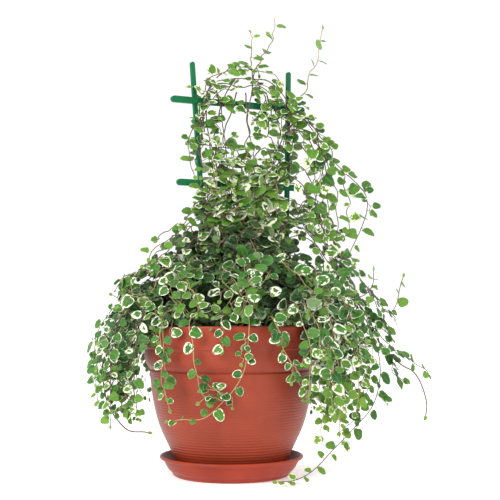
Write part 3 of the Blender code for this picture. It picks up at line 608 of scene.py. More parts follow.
def plastic_material(name, colour, roughness, marks, shine):
    """Satin moulded plastic: faint cloudiness, a fine grain and a few scattered specks of dust."""
    g = Graph(name)
    place = g.place()
    cloud = g.noise(place, 14.0, 3.0)
    flow = g.noise(g.stretch(place, 1.0, 1.0, 0.18), 90.0, 3.0)
    grain = g.noise(place, 1900.0, 2.0)
    speck = g.noise(place, 420.0, 4.0, 0.65)
    base = g.mix(g.smooth(cloud, 0.30, 0.70), scaled(colour, 0.80), scaled(colour, 1.10, 0.003))
    dust = (0.45, 0.40, 0.34)
    base = g.mix(g.smooth(speck, 0.62, 0.80) * (0.10 * marks), base, dust)
    rough = roughness + (flow - 0.5) * (0.22 * marks) + (grain - 0.5) * 0.10
    relief = g.bump(grain * 0.5 + flow * 1.2, 0.10, 0.0004)
    shader = g.surface(Base_Color=base, Roughness=rough, Normal=relief, Specular_IOR_Level=shine)
    return g.finish(shader, colour)


def soil_material(colour):
    """Damp peat: nearly black, with brown fibres."""
    g = Graph("damp potting soil")
    place = g.place()
    lump = g.noise(place, 260.0, 4.0, 0.6)
    fibre = g.noise(g.stretch(place, 1.0, 3.0, 1.0), 520.0, 3.0)
    base = g.mix(g.smooth(lump, 0.42, 0.72), colour, scaled(colour, 3.4))
    fibre_brown = (0.085, 0.055, 0.033)
    base = g.mix(g.smooth(fibre, 0.60, 0.72) * 0.7, base, fibre_brown)
    rough = 0.96 - g.smooth(lump, 0.2, 0.6) * 0.18
    shader = g.surface(Base_Color=base, Roughness=rough, Normal=g.bump(lump + fibre * 0.4, 0.6, 0.001))
    return g.finish(shader, colour)


def perlite_material():
    g = Graph("perlite grains")
    pore = g.noise(g.place(), 1500.0, 2.0)
    base = g.mix(g.smooth(pore, 0.35, 0.65), (0.42, 0.39, 0.33), (0.66, 0.63, 0.56))
    shader = g.surface(Base_Color=base, Roughness=0.9, Normal=g.bump(pore, 0.4, 0.0004))
    return g.finish(shader, (0.6, 0.57, 0.5))


def leaf_material(settings):
    """Green blade, grey-green patches, a ragged cream margin, and paler veins and underside."""
    g = Graph("variegated leaf")
    depth, along, across = g.split(g.attribute("leaf_place"))
    seed, youth, cream_share = g.split(g.attribute("leaf_nature"))
    under = g.smooth(g.attribute("leaf_under", "Fac"), 0.5, 0.62)
    parts = {"X": across * 1.1 + seed * 37.0, "Y": along * 1.7 + seed * 71.0, "Z": seed * 113.0}
    spot = g.node("ShaderNodeCombineXYZ", inputs=parts, output="Vector")
    blotch = g.noise(spot, 1.7, 1.0)
    ragged = g.noise(spot, 6.5, 2.0)
    side = abs(across)

    inside = depth + 0.035
    inside = inside - cream_share * (0.15 + g.smooth(blotch, 0.32, 0.68) * 1.9)
    inside = inside - (ragged - 0.5) * 0.30
    green_part = g.smooth(inside, -0.03, 0.04)
    patch = g.smooth(inside, 0.34, 0.26) * g.smooth(ragged, 0.44, 0.54)

    deep_green = tuple(settings.deep_green)
    tone = g.noise(spot, 0.9, 1.0) + (seed - 0.5) * 0.5
    green = g.mix(g.smooth(tone, 0.20, 0.80), deep_green, tuple(settings.green))
    green = g.mix(patch * 0.65, green, tuple(settings.grey_green))
    green = g.mix(youth, green, tuple(settings.young_green))
    # Painted shade in part: leaves of negative youth darken to near-black green, as old leaves and as shade
    # deep in the mound.
    age_and_shade = g.smooth(youth, 0.0, -1.0)
    green = g.mix(age_and_shade * 0.9, green, scaled(deep_green, 0.25))
    young_cream = (0.80, 0.85, 0.50)
    cream = g.mix(youth * 0.8, tuple(settings.cream), young_cream)
    # Painted shade in part: the cream margins of those leaves darken to deep green as well.
    cream = g.mix(g.smooth(youth, -0.5, -1.1) * 0.85, cream, deep_green)
    base = g.mix(green_part, cream, green)

    rib = g.smooth(side, 0.10, 0.03)
    slant = along * 6.3 - side * 1.9
    wave = abs(g.math("FRACT", slant, 0.0) - 0.5) * 2.0
    veins = g.math("MAXIMUM", rib, g.smooth(wave, 0.86, 0.98) * 0.6)
    vein_green = (0.33, 0.50, 0.16)
    under_green = (0.27, 0.42, 0.18)
    base = g.mix(veins * green_part * 0.28, base, vein_green)
    base = g.mix(under * 0.55, base, under_green)

    rough = 0.42 + (ragged - 0.5) * 0.2 + under * 0.25
    relief = g.bump(ragged * 0.8 - veins * 0.9, 0.45, 0.0005)
    blade = g.surface(Base_Color=base, Roughness=rough, Normal=relief, Specular_IOR_Level=0.28)
    glow = g.node("ShaderNodeBsdfTranslucent", inputs={"Color": (0.20, 0.56, 0.03)}, output="BSDF")
    shader = g.node("ShaderNodeMixShader", inputs={"Fac": 0.22, 1: blade, 2: glow}, output="Shader")
    return g.finish(shader, tuple(settings.green))


def stem_material():
    """Thin stems: dark brown when old, tan to reddish green when young."""
    g = Graph("creeping stem")
    seed, youth, pale = g.split(g.attribute("leaf_nature"))
    place = g.place()
    bark = g.noise(place, 700.0, 3.0)
    ring = g.noise(g.stretch(place, 1.0, 1.0, 0.35), 240.0, 2.0)
    old = g.mix(g.smooth(bark, 0.35, 0.70), (0.050, 0.026, 0.020), (0.150, 0.085, 0.060))
    young = g.mix(g.smooth(ring, 0.35, 0.65), (0.37, 0.24, 0.10), (0.29, 0.29, 0.10))
    base = g.mix(g.smooth(youth * 0.6 + pale + (seed - 0.5) * 0.3, 0.05, 0.75), old, young)
    rough = 0.60 - g.smooth(bark, 0.3, 0.8) * 0.15
    shader = g.surface(Base_Color=base, Roughness=rough, Normal=g.bump(bark, 0.35, 0.0003))
    return g.finish(shader, (0.12, 0.07, 0.05))


def floor_material(colour):
    g = Graph("studio floor")
    tint = g.noise(g.place(), 3.0, 2.0)
    base = g.mix(tint, scaled(colour, 0.985), colour)
    shader = g.surface(Base_Color=base, Roughness=0.55, Emission_Color=(1.0, 1.0, 1.0), Emission_Strength=0.3)
    return g.finish(shader, colour)


def show(obj, slot, *nodes):
    """Let a piece ride with the part and stand for its nodes. The slot is not used."""
    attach(obj, BODY)
    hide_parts(*nodes)


def add_object(name, mesh, *materials):
    for material in materials:
        mesh.materials.append(material)
    obj = bpy.data.objects.new(name, mesh)
    bpy.context.scene.collection.objects.link(obj)
    return obj


def mesh_of(name, coords, quads, tris, materials):
    """A smooth mesh from arrays of places, faces and the faces' materials; quads come before triangles."""
    mesh = bpy.data.meshes.new(name)
    corners = np.concatenate((quads.ravel(), tris.ravel())).astype(np.int32)
    count = len(quads) + len(tris)
    starts = np.concatenate((np.arange(len(quads)) * 4, len(quads) * 4 + np.arange(len(tris)) * 3))
    mesh.vertices.add(len(coords))
    mesh.vertices.foreach_set("co", (coords * MM).ravel().astype(np.float32))
    mesh.loops.add(len(corners))
    mesh.loops.foreach_set("vertex_index", corners)
    mesh.polygons.add(count)
    mesh.polygons.foreach_set("loop_start", starts.astype(np.int32))
    mesh.polygons.foreach_set("material_index", materials.astype(np.int32))
    mesh.update(calc_edges=True)
    mesh.shade_smooth()
    return mesh


def mesh_from(bm, name):
    """A mesh from a bmesh, which is then freed."""
    mesh = bpy.data.meshes.new(name)
    bm.to_mesh(mesh)
    bm.free()
    return mesh


def combine(obj, operation, others):
    """Add a Boolean with each of the others; they stay until the modifiers are applied."""
    for other in others:
        step = obj.modifiers.new("Combine", "BOOLEAN")
        step.operation = operation
        step.object = other


def applied(obj):
    """A new mesh: the object's with its modifiers applied."""
    return bpy.data.meshes.new_from_object(obj.evaluated_get(bpy.context.evaluated_depsgraph_get()))


def remove(objects):
    for obj in objects:
        bpy.data.objects.remove(obj, do_unlink=True)


def clamp(value):
    return min(1.0, max(0.0, value))


def polar(radius, angle, height):
    return Vector((radius * math.cos(angle), radius * math.sin(angle), height))


def arc(centre, radius, start, end, count):
    """Points on an arc in the profile's plane, angles in degrees."""
    angles = [math.radians(start + (end - start) * i / (count - 1)) for i in range(count)]
    return [(centre[0] + radius * math.cos(a), centre[1] + radius * math.sin(a)) for a in angles]


def curve(points, step):
    """Points about one step apart on a Catmull-Rom curve through the given points."""
    ends = [points[0] * 2 - points[1]] + list(points) + [points[-1] * 2 - points[-2]]
    path = [points[0]]
    for i in range(1, len(ends) - 2):
        a, b, c, d = ends[i - 1:i + 3]
        count = max(1, round((c - b).length / step))
        for k in range(1, count + 1):
            t = k / count
            path.append(0.5 * ((b * 2) + (c - a) * t + (a * 2 - b * 5 + c * 4 - d) * t * t
                               + (b * 3 - a - c * 3 + d) * t ** 3))
    return path


def profile_curve(points, step):
    """The same for the (radius, height) points of a profile."""
    return [(p.x, p.y) for p in curve([Vector(point) for point in points], step)]


def turned_mesh(name, profile, sides, closed=False):
    """Spin a profile of (radius, height) points round the Z axis; its ends may lie on the axis."""
    bm = bmesh.new()
    verts = [bm.verts.new((r * MM, 0.0, z * MM)) for r, z in profile]
    loop = verts[1:] + ([verts[0]] if closed else [])
    edges = [bm.edges.new(pair) for pair in zip(verts, loop)]
    bmesh.ops.spin(bm, geom=verts + edges, cent=(0, 0, 0), axis=(0, 0, 1), angle=math.tau, steps=sides,
                   use_merge=True)
    bmesh.ops.remove_doubles(bm, verts=bm.verts, dist=0.001 * MM)
    bmesh.ops.recalc_face_normals(bm, faces=bm.faces)
    mesh = mesh_from(bm, name)
    mesh.shade_smooth()
    mesh.set_sharp_from_angle(angle=TURNED_SHARP)
    return mesh


def pot_profile(settings):
    """The pot's wall in section: foot, ribbed bowl, groove, band, collar, lip and inner side."""
    pitch = settings.rib_pitch / MM
    depth = settings.rib_depth / MM
    under = [(FLOOR_EDGE, FLOOR_BOTTOM), (FOOT_RADIUS - 5.0, FLOOR_BOTTOM),
             (FOOT_RADIUS - 4.4, FOOT_BOTTOM + 0.4), (FOOT_RADIUS - 4.0, FOOT_BOTTOM),
             (FOOT_RADIUS - 1.2, FOOT_BOTTOM), (FOOT_RADIUS - 0.4, FOOT_BOTTOM + 0.3)]
    bowl = []
    for radius, height in profile_curve(BOWL_GUIDE, 0.5):
        fade = clamp((height - RIBS_BOTTOM) / 4.0) * clamp((RIBS_TOP - height) / 22.0)
        dip = (0.5 - 0.5 * math.cos(math.tau * height / pitch)) * depth * fade
        bowl.append((radius - dip, height))
    groove = [(BOWL_TOP_RADIUS + 0.05, GROOVE_HEIGHT - 1.3), (BOWL_TOP_RADIUS - 0.35, GROOVE_HEIGHT - 0.8),
              (BOWL_TOP_RADIUS - 0.8, GROOVE_HEIGHT - 0.35), (BOWL_TOP_RADIUS - 0.8, GROOVE_HEIGHT + 0.1),
              (BOWL_TOP_RADIUS - 0.1, GROOVE_HEIGHT + 0.5), (BOWL_TOP_RADIUS + 0.7, GROOVE_HEIGHT + 1.1)]
    band = profile_curve(((BOWL_TOP_RADIUS + 1.2, 105.0), (82.4, 107.6), (84.1, 113.0), (84.6, 118.5),
                          (84.7, COLLAR_BOTTOM - 0.8)), 1.2)
    collar = [(84.9, COLLAR_BOTTOM - 0.4)] + arc((RIM_RADIUS - 0.9, COLLAR_BOTTOM + 0.8), 0.8, -90, 0, 5)
    collar += [(RIM_RADIUS - 0.05, COLLAR_BOTTOM + 6.0), (RIM_RADIUS, COLLAR_BOTTOM + 14.0)]
    lip = arc((RIM_RADIUS - 1.9, RIM_HEIGHT - 1.9), 1.9, 0, 150, 10)
    inside = [(COLLAR_INSIDE, RIM_HEIGHT - 4.0), (COLLAR_INSIDE, COLLAR_BOTTOM),
              (BOWL_TOP_RADIUS - 2.2, 100.0), (74.0, 74.0), (67.8, 49.5), (FOOT_RADIUS - 0.4, 11.0),
              (FOOT_RADIUS - 3.0, FLOOR_TOP), (FLOOR_EDGE, FLOOR_TOP)]
    return under + bowl + groove + band + collar + lip + inside


def make_pot(settings):
    """The turned wall and a floor with drain holes, in one mesh."""
    plastic = plastic_material("terracotta plastic", tuple(settings.colour), settings.roughness, 0.6, 0.28)
    wall = add_object("pot", turned_mesh("pot", pot_profile(settings), settings.sides, closed=True), plastic)
    disc = [(0.0, FLOOR_BOTTOM), (FLOOR_EDGE, FLOOR_BOTTOM), (FLOOR_EDGE, FLOOR_TOP), (0.0, FLOOR_TOP)]
    floor = add_object("pot floor", turned_mesh("pot floor", disc, 64), plastic)
    cutter = bmesh.new()
    for i in range(DRAIN_HOLES):
        centre = polar(DRAIN_RING, math.tau * i / DRAIN_HOLES, FLOOR_TOP) * MM
        bmesh.ops.create_cone(cutter, cap_ends=True, segments=24, radius1=DRAIN_RADIUS * MM,
                              radius2=DRAIN_RADIUS * MM, depth=10.0 * MM, matrix=Matrix.Translation(centre))
    drill = add_object("drain holes", mesh_from(cutter, "drain holes"))
    combine(floor, "DIFFERENCE", [drill])
    whole = bmesh.new()
    whole.from_mesh(wall.data)
    whole.from_mesh(applied(floor))
    whole.to_mesh(wall.data)
    whole.free()
    remove([floor, drill])
    show(wall, "pot_plastic", "pot")


def make_saucer(settings):
    """A dish with a rolled lip and a low raised ring inside the pot's foot."""
    plastic = plastic_material("saucer plastic", tuple(settings.saucer_colour), settings.roughness, 0.8, 0.22)
    floor = FOOT_BOTTOM - 0.3
    foot = arc((53.0, 4.4), 4.4, -90, -12, 8)
    wall = profile_curve((foot[-1], (61.4, 7.6), (64.2, 12.4), (65.9, 15.6), (67.3, 17.0)), 1.0)
    lip = arc((SAUCER_RADIUS - 1.6, SAUCER_HEIGHT - 1.6), 1.6, -70, 165, 14)
    inner = profile_curve(((65.4, 16.4), (62.4, 12.2), (58.6, 6.6), (55.2, 4.0), (52.8, floor)), 1.2)
    ring = [(44.0, floor), (43.4, floor + 0.6), (42.0, floor + 0.6), (41.4, floor)]
    profile = [(0.0, 0.0), (40.0, 0.0)] + foot + wall[1:] + lip + inner + ring + [(0.0, floor)]
    mesh = turned_mesh("saucer", profile, settings.sides)
    show(add_object("saucer", mesh, plastic), "saucer_plastic", "saucer")


def make_soil(settings):
    """A lumpy bed with crumbs and a few white grains, on the plain filling that the pot hides."""
    chance = random.Random(SOIL_SEED)
    waves = [(chance.uniform(0.02, 0.09), chance.uniform(0, math.tau), chance.uniform(0, math.tau))
             for _ in range(9)]
    wall = [(FOOT_RADIUS - 3.4, SOIL_BOTTOM), (FOOT_RADIUS - 0.8, 11.0), (67.4, 49.5), (76.4, 99.0),
            (SOIL_RADIUS + 0.9, 124.0), (SOIL_RADIUS + 0.9, SOIL_TOP - 1.0)]
    rings = 36
    bed = [(SOIL_RADIUS * (1.0 - (i / rings) ** 1.1), SOIL_TOP) for i in range(rings)]
    mesh = turned_mesh("soil", [(0.0, SOIL_BOTTOM)] + wall + bed + [(0.0, SOIL_TOP)], 96)
    for vert in mesh.vertices:
        if vert.co.z > (SOIL_TOP - 0.1) * MM:
            x = vert.co.x / MM
            y = vert.co.y / MM
            rise = sum(math.sin(f * (x * math.cos(a) + y * math.sin(a)) * 3.0 + b) for f, a, b in waves)
            vert.co.z += (rise * 0.35 + chance.uniform(-0.5, 0.5)) * MM
    bm = bmesh.new()
    bm.from_mesh(mesh)
    for i in range(settings.crumbs):
        reach = CRUMB_REACH * math.sqrt(chance.random())
        angle = chance.uniform(0, math.tau)
        size = settings.crumb_size * chance.uniform(0.25, 1.0) ** 1.5
        place = polar(reach, angle, SOIL_TOP + 0.5) * MM
        turned = chance.uniform(0, math.tau)
        turn = Matrix.Rotation(turned, 4, Vector((chance.random(), 0.5, chance.random())))
        shape = Matrix.Diagonal((1.0, chance.uniform(0.5, 1.0), chance.uniform(0.4, 0.8), 1.0))
        made = bmesh.ops.create_icosphere(bm, subdivisions=1, radius=size,
                                          matrix=Matrix.Translation(place) @ turn @ shape)
        white = i % WHITE_EVERY == 0
        for vert in made["verts"]:
            vert.co += Vector([chance.uniform(-0.18, 0.18) * size for _ in range(3)])
            for face in vert.link_faces:
                face.material_index = 1 if white else 0
                face.smooth = white
    bm.to_mesh(mesh)
    bm.free()
    earth = soil_material(tuple(settings.colour))
    show(add_object("soil", mesh, earth, perlite_material()), "soil", "soil")


def bar(start, end, width, thickness):
    """A bar in the trellis's plane with half-round ends."""
    axis = (end - start).normalized()
    across = Vector((-axis.z, 0.0, axis.x))
    outline = []
    for point, sign in ((start, -1), (end, 1)):
        for step in range(9):
            a = math.radians(-90 + 22.5 * step)
            outline.append(point + (axis * math.cos(a) + across * math.sin(a)) * sign * width / 2)
    bm = bmesh.new()
    verts = [bm.verts.new((p.x * MM, -thickness * MM / 2, p.z * MM)) for p in outline]
    moved = bmesh.ops.extrude_face_region(bm, geom=[bm.faces.new(verts)])["geom"]
    shift = Vector((0.0, thickness * MM, 0.0))
    bmesh.ops.translate(bm, verts=[g for g in moved if isinstance(g, bmesh.types.BMVert)], vec=shift)
    bmesh.ops.recalc_face_normals(bm, faces=bm.faces)
    return mesh_from(bm, "trellis bar")


def make_trellis(settings):
    """Two splayed uprights and three rungs, moulded together with rounded edges."""
    plastic = plastic_material("green plastic", tuple(settings.colour), 0.46, 1.0, 0.14)
    bars = []
    for foot, top in zip(UPRIGHT_FEET, UPRIGHT_TOPS):
        start = Vector((foot, 0.0, TRELLIS_BOTTOM + UPRIGHT_WIDTH))
        end = Vector((top, 0.0, TRELLIS_TOP - UPRIGHT_WIDTH / 2))
        bars.append(bar(start, end, UPRIGHT_WIDTH, TRELLIS_THICKNESS))
    for height, length in RUNGS:
        reach = length / 2 - RUNG_HEIGHT / 2
        start = Vector((RUNG_CENTRE - reach, 0.0, height))
        end = Vector((RUNG_CENTRE + reach, 0.0, height))
        bars.append(bar(start, end, RUNG_HEIGHT, TRELLIS_THICKNESS + 0.8))
    trellis = add_object("trellis", bars[0], plastic)
    others = [add_object("trellis bar", mesh) for mesh in bars[1:]]
    combine(trellis, "UNION", others)
    edges = trellis.modifiers.new("Edges", "BEVEL")
    edges.width = settings.edge
    edges.segments = 4
    edges.angle_limit = math.radians(50)
    mesh = applied(trellis)
    trellis.modifiers.clear()
    trellis.data = mesh
    remove(others)
    mesh.materials.clear()
    mesh.materials.append(plastic)
    mesh.transform(Matrix.Translation(TRELLIS_PLACE * MM) @ Matrix.Rotation(TRELLIS_YAW, 4, "Z"))
    mesh.shade_smooth()
    mesh.set_sharp_from_angle(angle=TRELLIS_SHARP)
    show(trellis, "trellis_plastic", "trellis")


def trellis_point(along, front, height):
    """A point given in the trellis's frame, in millimetres of the whole part."""
    return TRELLIS_PLACE + ALONG * along + FRONT * front + UP * height


def trellis_place(point):
    """Where a point is in the trellis's frame: along it, in front of it, and height."""
    away = point - TRELLIS_PLACE
    return away.dot(ALONG), away.dot(FRONT), point.z


def outward(point):
    """The level direction in which a leaf here finds light; at the sides it also turns to the front."""
    to_front = clamp((LIT_FROM - point.y) / LIT_OVER) * LIT_PULL
    round_pot = (Vector((point.x, point.y, 0.0)).normalized() - Vector((0.0, to_front, 0.0))).normalized()
    s, q, z = trellis_place(point)
    to_light = Vector((0.0, 0.6 if q > -2.0 else 0.0, 0.0))
    face = ((ALONG * (s / 25.0) + FRONT * (q + 2.0)).normalized() - to_light).normalized()
    climbing = clamp((z - FACE_CHANGE) / FACE_CHANGE_OVER)
    return (round_pot * (1.0 - climbing) + face * climbing).normalized()


def is_clear(point, gap):
    """True where a point is outside every solid piece by the gap."""
    reach = math.hypot(point.x, point.y)
    low, high = CAD_BOX
    inside = all(low[i] / MM - PROUD < point[i] < high[i] / MM + PROUD for i in range(3))
    if point.z < gap or not inside:
        return False
    if point.z < RIM_HEIGHT + gap:
        over_soil = reach < SOIL_RADIUS and point.z > SOIL_TOP + 1.5
        if not over_soil and reach < float(np.interp(point.z, *POT_OUTSIDE)) + gap:
            return False
    s, q, z = trellis_place(point)
    if abs(q) < TRELLIS_THICKNESS / 2 + gap:
        share = (z - TRELLIS_BOTTOM) / (TRELLIS_TOP - TRELLIS_BOTTOM)
        for foot, top in zip(UPRIGHT_FEET, UPRIGHT_TOPS):
            if z < TRELLIS_TOP + gap and abs(s - foot - (top - foot) * share) < UPRIGHT_WIDTH / 2 + gap:
                return False
        for height, length in RUNGS:
            if abs(z - height) < RUNG_HEIGHT / 2 + gap and abs(s - RUNG_CENTRE) < length / 2 + gap:
                return False
    return True


def pushed_clear(point, gap):
    """The point, moved off the pot's wall, the floor or the trellis where it is too near."""
    if point.z < gap:
        point.z = gap
    if is_clear(point, gap):
        return point
    s, q, z = trellis_place(point)
    if z > RIM_HEIGHT:
        return trellis_point(s, math.copysign(TRELLIS_THICKNESS / 2 + gap + 0.2, q), z)
    reach = math.hypot(point.x, point.y)
    wanted = float(np.interp(z, *POT_OUTSIDE)) + gap
    return Vector((point.x * wanted / reach, point.y * wanted / reach, z))


def leaf_grid():
    """The blade's corners and faces. Row 0 is the stalk's end and the last row is the tip."""
    last = len(LEAF_OUTLINE) - 1
    corners = [(0.0, 0.0, 0.0, 0.0), (0.0, 1.0, 0.0, 0.0)]
    number = {}
    quads = []
    tris = []
    for layer, columns in ((1.0, UPPER_COLUMNS), (-1.0, LOWER_COLUMNS)):
        for share in columns:
            number[layer, 0, share] = 0
            number[layer, last, share] = 1
        for row in range(1, last):
            for share in columns:
                rim = abs(share) == 1.0
                if rim and layer < 0:
                    number[layer, row, share] = number[1.0, row, share]
                    continue
                x = share * LEAF_OUTLINE[row][0]
                y = LEAF_RIB[row] + abs(share) ** 1.3 * (LEAF_OUTLINE[row][1] - LEAF_RIB[row])
                number[layer, row, share] = len(corners)
                corners.append((x, y, 0.0 if rim else layer, share))
        for row in range(last):
            for left, right in zip(columns, columns[1:]):
                ring = [number[layer, row, left], number[layer, row, right],
                        number[layer, row + 1, right], number[layer, row + 1, left]]
                ring = ring if layer > 0 else ring[::-1]
                ring = [n for i, n in enumerate(ring) if n != ring[i - 1]]
                (quads if len(ring) == 4 else tris).append(ring)
    rim = [(number[1.0, row, share], number[1.0, row + 1, share]) for share in (-1.0, 1.0)
           for row in range(last)]
    return np.array(corners), np.array(quads), np.array(tris), rim


def margin_depth(corners, width):
    """Each corner's distance from the margin, as a share of the leaf's half width."""
    outline = [Vector((x * width, y)) for x, y in LEAF_OUTLINE]
    line = []
    for a, b in zip(outline, outline[1:]):
        line += [a.lerp(b, k / 6) for k in range(6)]
    line += [Vector((-p.x, p.y)) for p in line] + [outline[-1]]
    depths = []
    for x, y, _, share in corners:
        here = Vector((x * width, y))
        depths.append(0.0 if abs(share) == 1.0 else min((here - p).length for p in line))
    return np.minimum(1.0, np.array(depths) / (0.46 * width))


def rows(values):
    return np.array([tuple(value) for value in values])


def offset_faces(faces, count, size):
    """The same faces for each of several copies of a block of corners."""
    steps = (np.arange(count) * size)[:, None, None]
    return (faces[None] + steps).reshape(-1, faces.shape[1])


class Foliage:
    """The stems and leaves of one piece, collected and then made into one mesh."""

    taken = {}

    def __init__(self, name, seed, settings, tilt=0.3):
        self.name = name
        self.tilt = tilt
        self.chance = random.Random(seed)
        self.settings = settings
        self.leaves = []
        self.stems = []

    def jitter(self, size):
        return Vector([self.chance.uniform(-size, size) for _ in range(3)])

    def has_room(self, place, distance):
        """True where no other leaf's middle is nearer; the place is then taken."""
        x, y, z = (int(c // LEAF_CELL) for c in place)
        for dx in (-1, 0, 1):
            for dy in (-1, 0, 1):
                for dz in (-1, 0, 1):
                    for other in self.taken.get((x + dx, y + dy, z + dz), ()):
                        if (other - place).length < distance:
                            return False
        self.taken.setdefault((x, y, z), []).append(place)
        return True

    def leaf(self, point, along, number, size, youth, cream):
        """Set a leaf on a stem, left and right in turn, its face to the light."""
        chance = self.chance
        out = outward(point)
        steep = abs(along.z)
        side = along.cross(out * steep + UP * (1.05 - steep))
        if side.length > 0.05:
            side = side.normalized() * (1 if number % 2 else -1)
        else:
            side = self.jitter(1.0)
        free = clamp((math.hypot(point.x, point.y) - HANG_FROM) / HANG_OVER)
        hanging = (0.55 + 0.6 * free) * max(0.0, -along.z)
        high = clamp((point.z - FLAT_FROM) / FLAT_OVER) * (1.0 - min(1.0, hanging))
        length = self.settings.leaf_length / MM * size * (0.66 + 0.62 * chance.random() ** 1.3)
        for _ in range(LEAF_TRIES):
            stalk = (side + out * 0.35 + along * 0.15 + self.jitter(0.35)).normalized()
            forward = stalk + along * 0.12 - UP * (0.05 + 0.18 * (1.0 - high)) + self.jitter(0.3)
            forward.normalize()
            facing = out * (0.95 - 0.38 * high) + UP * (0.42 + 0.43 * high) + self.jitter(self.tilt)
            facing = (facing - forward * facing.dot(forward)).normalized()
            across = forward.cross(facing)
            neck = point + stalk * (chance.uniform(1.6, 3.6) * size)
            middle = neck + forward * length * 0.45
            edge = across * length * 0.40
            spots = (neck, middle + edge, middle - edge, middle, neck + forward * length)
            clear = all(is_clear(spot, LEAF_GAP) and spot.z > LEAF_GROUND for spot in spots)
            if clear and self.has_room(middle, LEAF_ROOM * size):
                self.leaves.append(Leaf(point, neck, forward, across, facing, length, youth, cream))
                return

    def wandering(self, route, wander):
        """A fine path along the route that strays a little and keeps clear of the solid pieces."""
        chance = self.chance
        path = curve(route, STEM_STEP)
        swing = [(self.jitter(1.0), chance.uniform(1.0, 6.0), chance.uniform(0, math.tau)) for _ in range(4)]
        last = len(path) - 1
        for i in range(1, last + 1):
            share = i / last
            bend = sum((v * math.sin(math.tau * f * share + p) for v, f, p in swing), Vector())
            path[i] = pushed_clear(path[i] + bend * wander * min(1.0, share * 4.0), STEM_GAP)
        return path

    def strand(self, route, first, spacing, size, cream, young, pale, twigs=0, thick=1.0, wander=0.8,
               old=0.2, leafy=1.0):
        """A leafy stem along a route: leaves grow smaller and younger towards its tip.

        The first leaf and their spacing are in millimetres along the stem. Cream is the leaves' share of it,
        young their youth at the tip, and old darkens them towards the root: partly age, and partly painted
        shade where the roots lie deep in the mound; a negative old makes them younger and lighter there
        instead.
        Pale lightens the stem, wander is how far it strays from the route, and leafy is the share of its
        length that bears leaves.
        """
        chance = self.chance
        path = self.wandering(route, wander)
        steps = [0.0]
        for a, b in zip(path, path[1:]):
            steps.append(steps[-1] + (b - a).length)
        total = steps[-1]
        green_tip = pale > 0.2 or route[-1].z > GREEN_TIP_HEIGHT
        self.stems.append((path, thick, young if green_tip else 0.2, pale))
        wanted = first
        number = chance.randrange(2)
        i = 1
        while wanted < total * leafy - 1.0:
            while steps[i] < wanted:
                i += 1
            along = (path[i] - path[i - 1]).normalized()
            point = path[i - 1].lerp(path[i], (wanted - steps[i - 1]) / (steps[i] - steps[i - 1]))
            share = wanted / total
            fresh = young * max(0.0, (share - 0.5) / 0.5) ** 1.5 + chance.uniform(0.0, 0.12)
            # Painted shade in part: old darkens leaves towards the root, and the mound's large old shades its
            # inner leaves.
            aged_and_shaded = old * (0.35 + 0.65 * (1.0 - share) ** 1.5) * chance.uniform(0.5, 1.3)
            youth = min(1.0, fresh - aged_and_shaded)
            margin = cream * 3.3 * chance.random() ** 2.4 * (1.0 - 0.5 * max(0.0, youth))
            self.leaf(point, along, number, size * (1.0 - 0.24 * fresh), youth, margin)
            wanted += spacing * chance.uniform(0.75, 1.25) * (1.0 - 0.15 * fresh)
            number += 1
        self.tip(path[-1], (path[-1] - path[-2]).normalized(), size, young)
        for k in range(twigs):
            share = (k + chance.uniform(0.3, 0.9)) / (twigs + 0.6)
            self.twig(path, share, spacing, size, cream, young, pale)

    def tip(self, point, along, size, youth):
        """The small folded leaf at a shoot's end."""
        facing = outward(point) + UP * 0.4 + self.jitter(0.3)
        facing = (facing - along * facing.dot(along)).normalized()
        across = along.cross(facing)
        length = 4.6 * size
        if is_clear(point + along * length, 0.5):
            self.leaves.append(Leaf(point - along * 0.8, point + along * 0.4, along, across, facing, length,
                                    min(1.0, 0.5 + youth * 0.5), 0.05))

    def twig(self, path, share, spacing, size, cream, young, pale):
        """A short side shoot that leaves a path and bends down."""
        chance = self.chance
        i = min(len(path) - 2, max(1, int(share * len(path))))
        along = (path[i + 1] - path[i - 1]).normalized()
        out = outward(path[i])
        side = along.cross(out).normalized() * chance.choice((-1, 1))
        reach = chance.uniform(12.0, 26.0) * size
        heading = side * chance.uniform(0.4, 1.0) + out * chance.uniform(0.0, 0.7) + along * 0.6
        heading.normalize()
        sag = UP * reach * chance.uniform(0.05, 0.40)
        route = [path[i], path[i] + heading * reach * 0.5, path[i] + heading * reach - sag]
        self.strand(route, first=6.0, spacing=spacing * 0.9, size=size * 0.92, cream=cream,
                    young=max(young, 0.4), pale=pale, thick=0.7)

    def stem_block(self, path, thick, young, pale):
        """A closed tube along a path that thins towards its tip."""
        sides = STEM_SIDES
        radius = self.settings.stem_radius / MM * thick
        coords = []
        nature = []
        side = Vector((0.3, 0.9, 0.2))
        seed = self.chance.random()
        count = len(path)
        for i, point in enumerate(path):
            along = (path[min(i + 1, count - 1)] - path[max(i - 1, 0)]).normalized()
            side = (side - along * side.dot(along)).normalized()
            other = along.cross(side)
            share = i / (count - 1)
            size = radius * (1.0 - 0.35 * share)
            for k in range(sides):
                a = math.tau * k / sides
                coords.append(point + (side * math.cos(a) + other * math.sin(a)) * size)
                nature.append((seed, young * share, pale))
        coords += [path[0], path[-1]]
        nature += [(seed, 0.0, pale), (seed, young, pale)]
        quads = []
        tris = []
        end = count * sides
        for k in range(sides):
            j = (k + 1) % sides
            tris.append((j, k, end))
            tris.append((end - sides + k, end - sides + j, end + 1))
        for low in range(0, end - sides, sides):
            for k in range(sides):
                j = (k + 1) % sides
                quads.append((low + k, low + j, low + sides + j, low + sides + k))
        zeros = np.zeros((len(coords), 3))
        return Block(rows(coords), np.array(quads), np.array(tris), STEM_MATERIAL, zeros, np.array(nature),
                     zeros[:, 0])

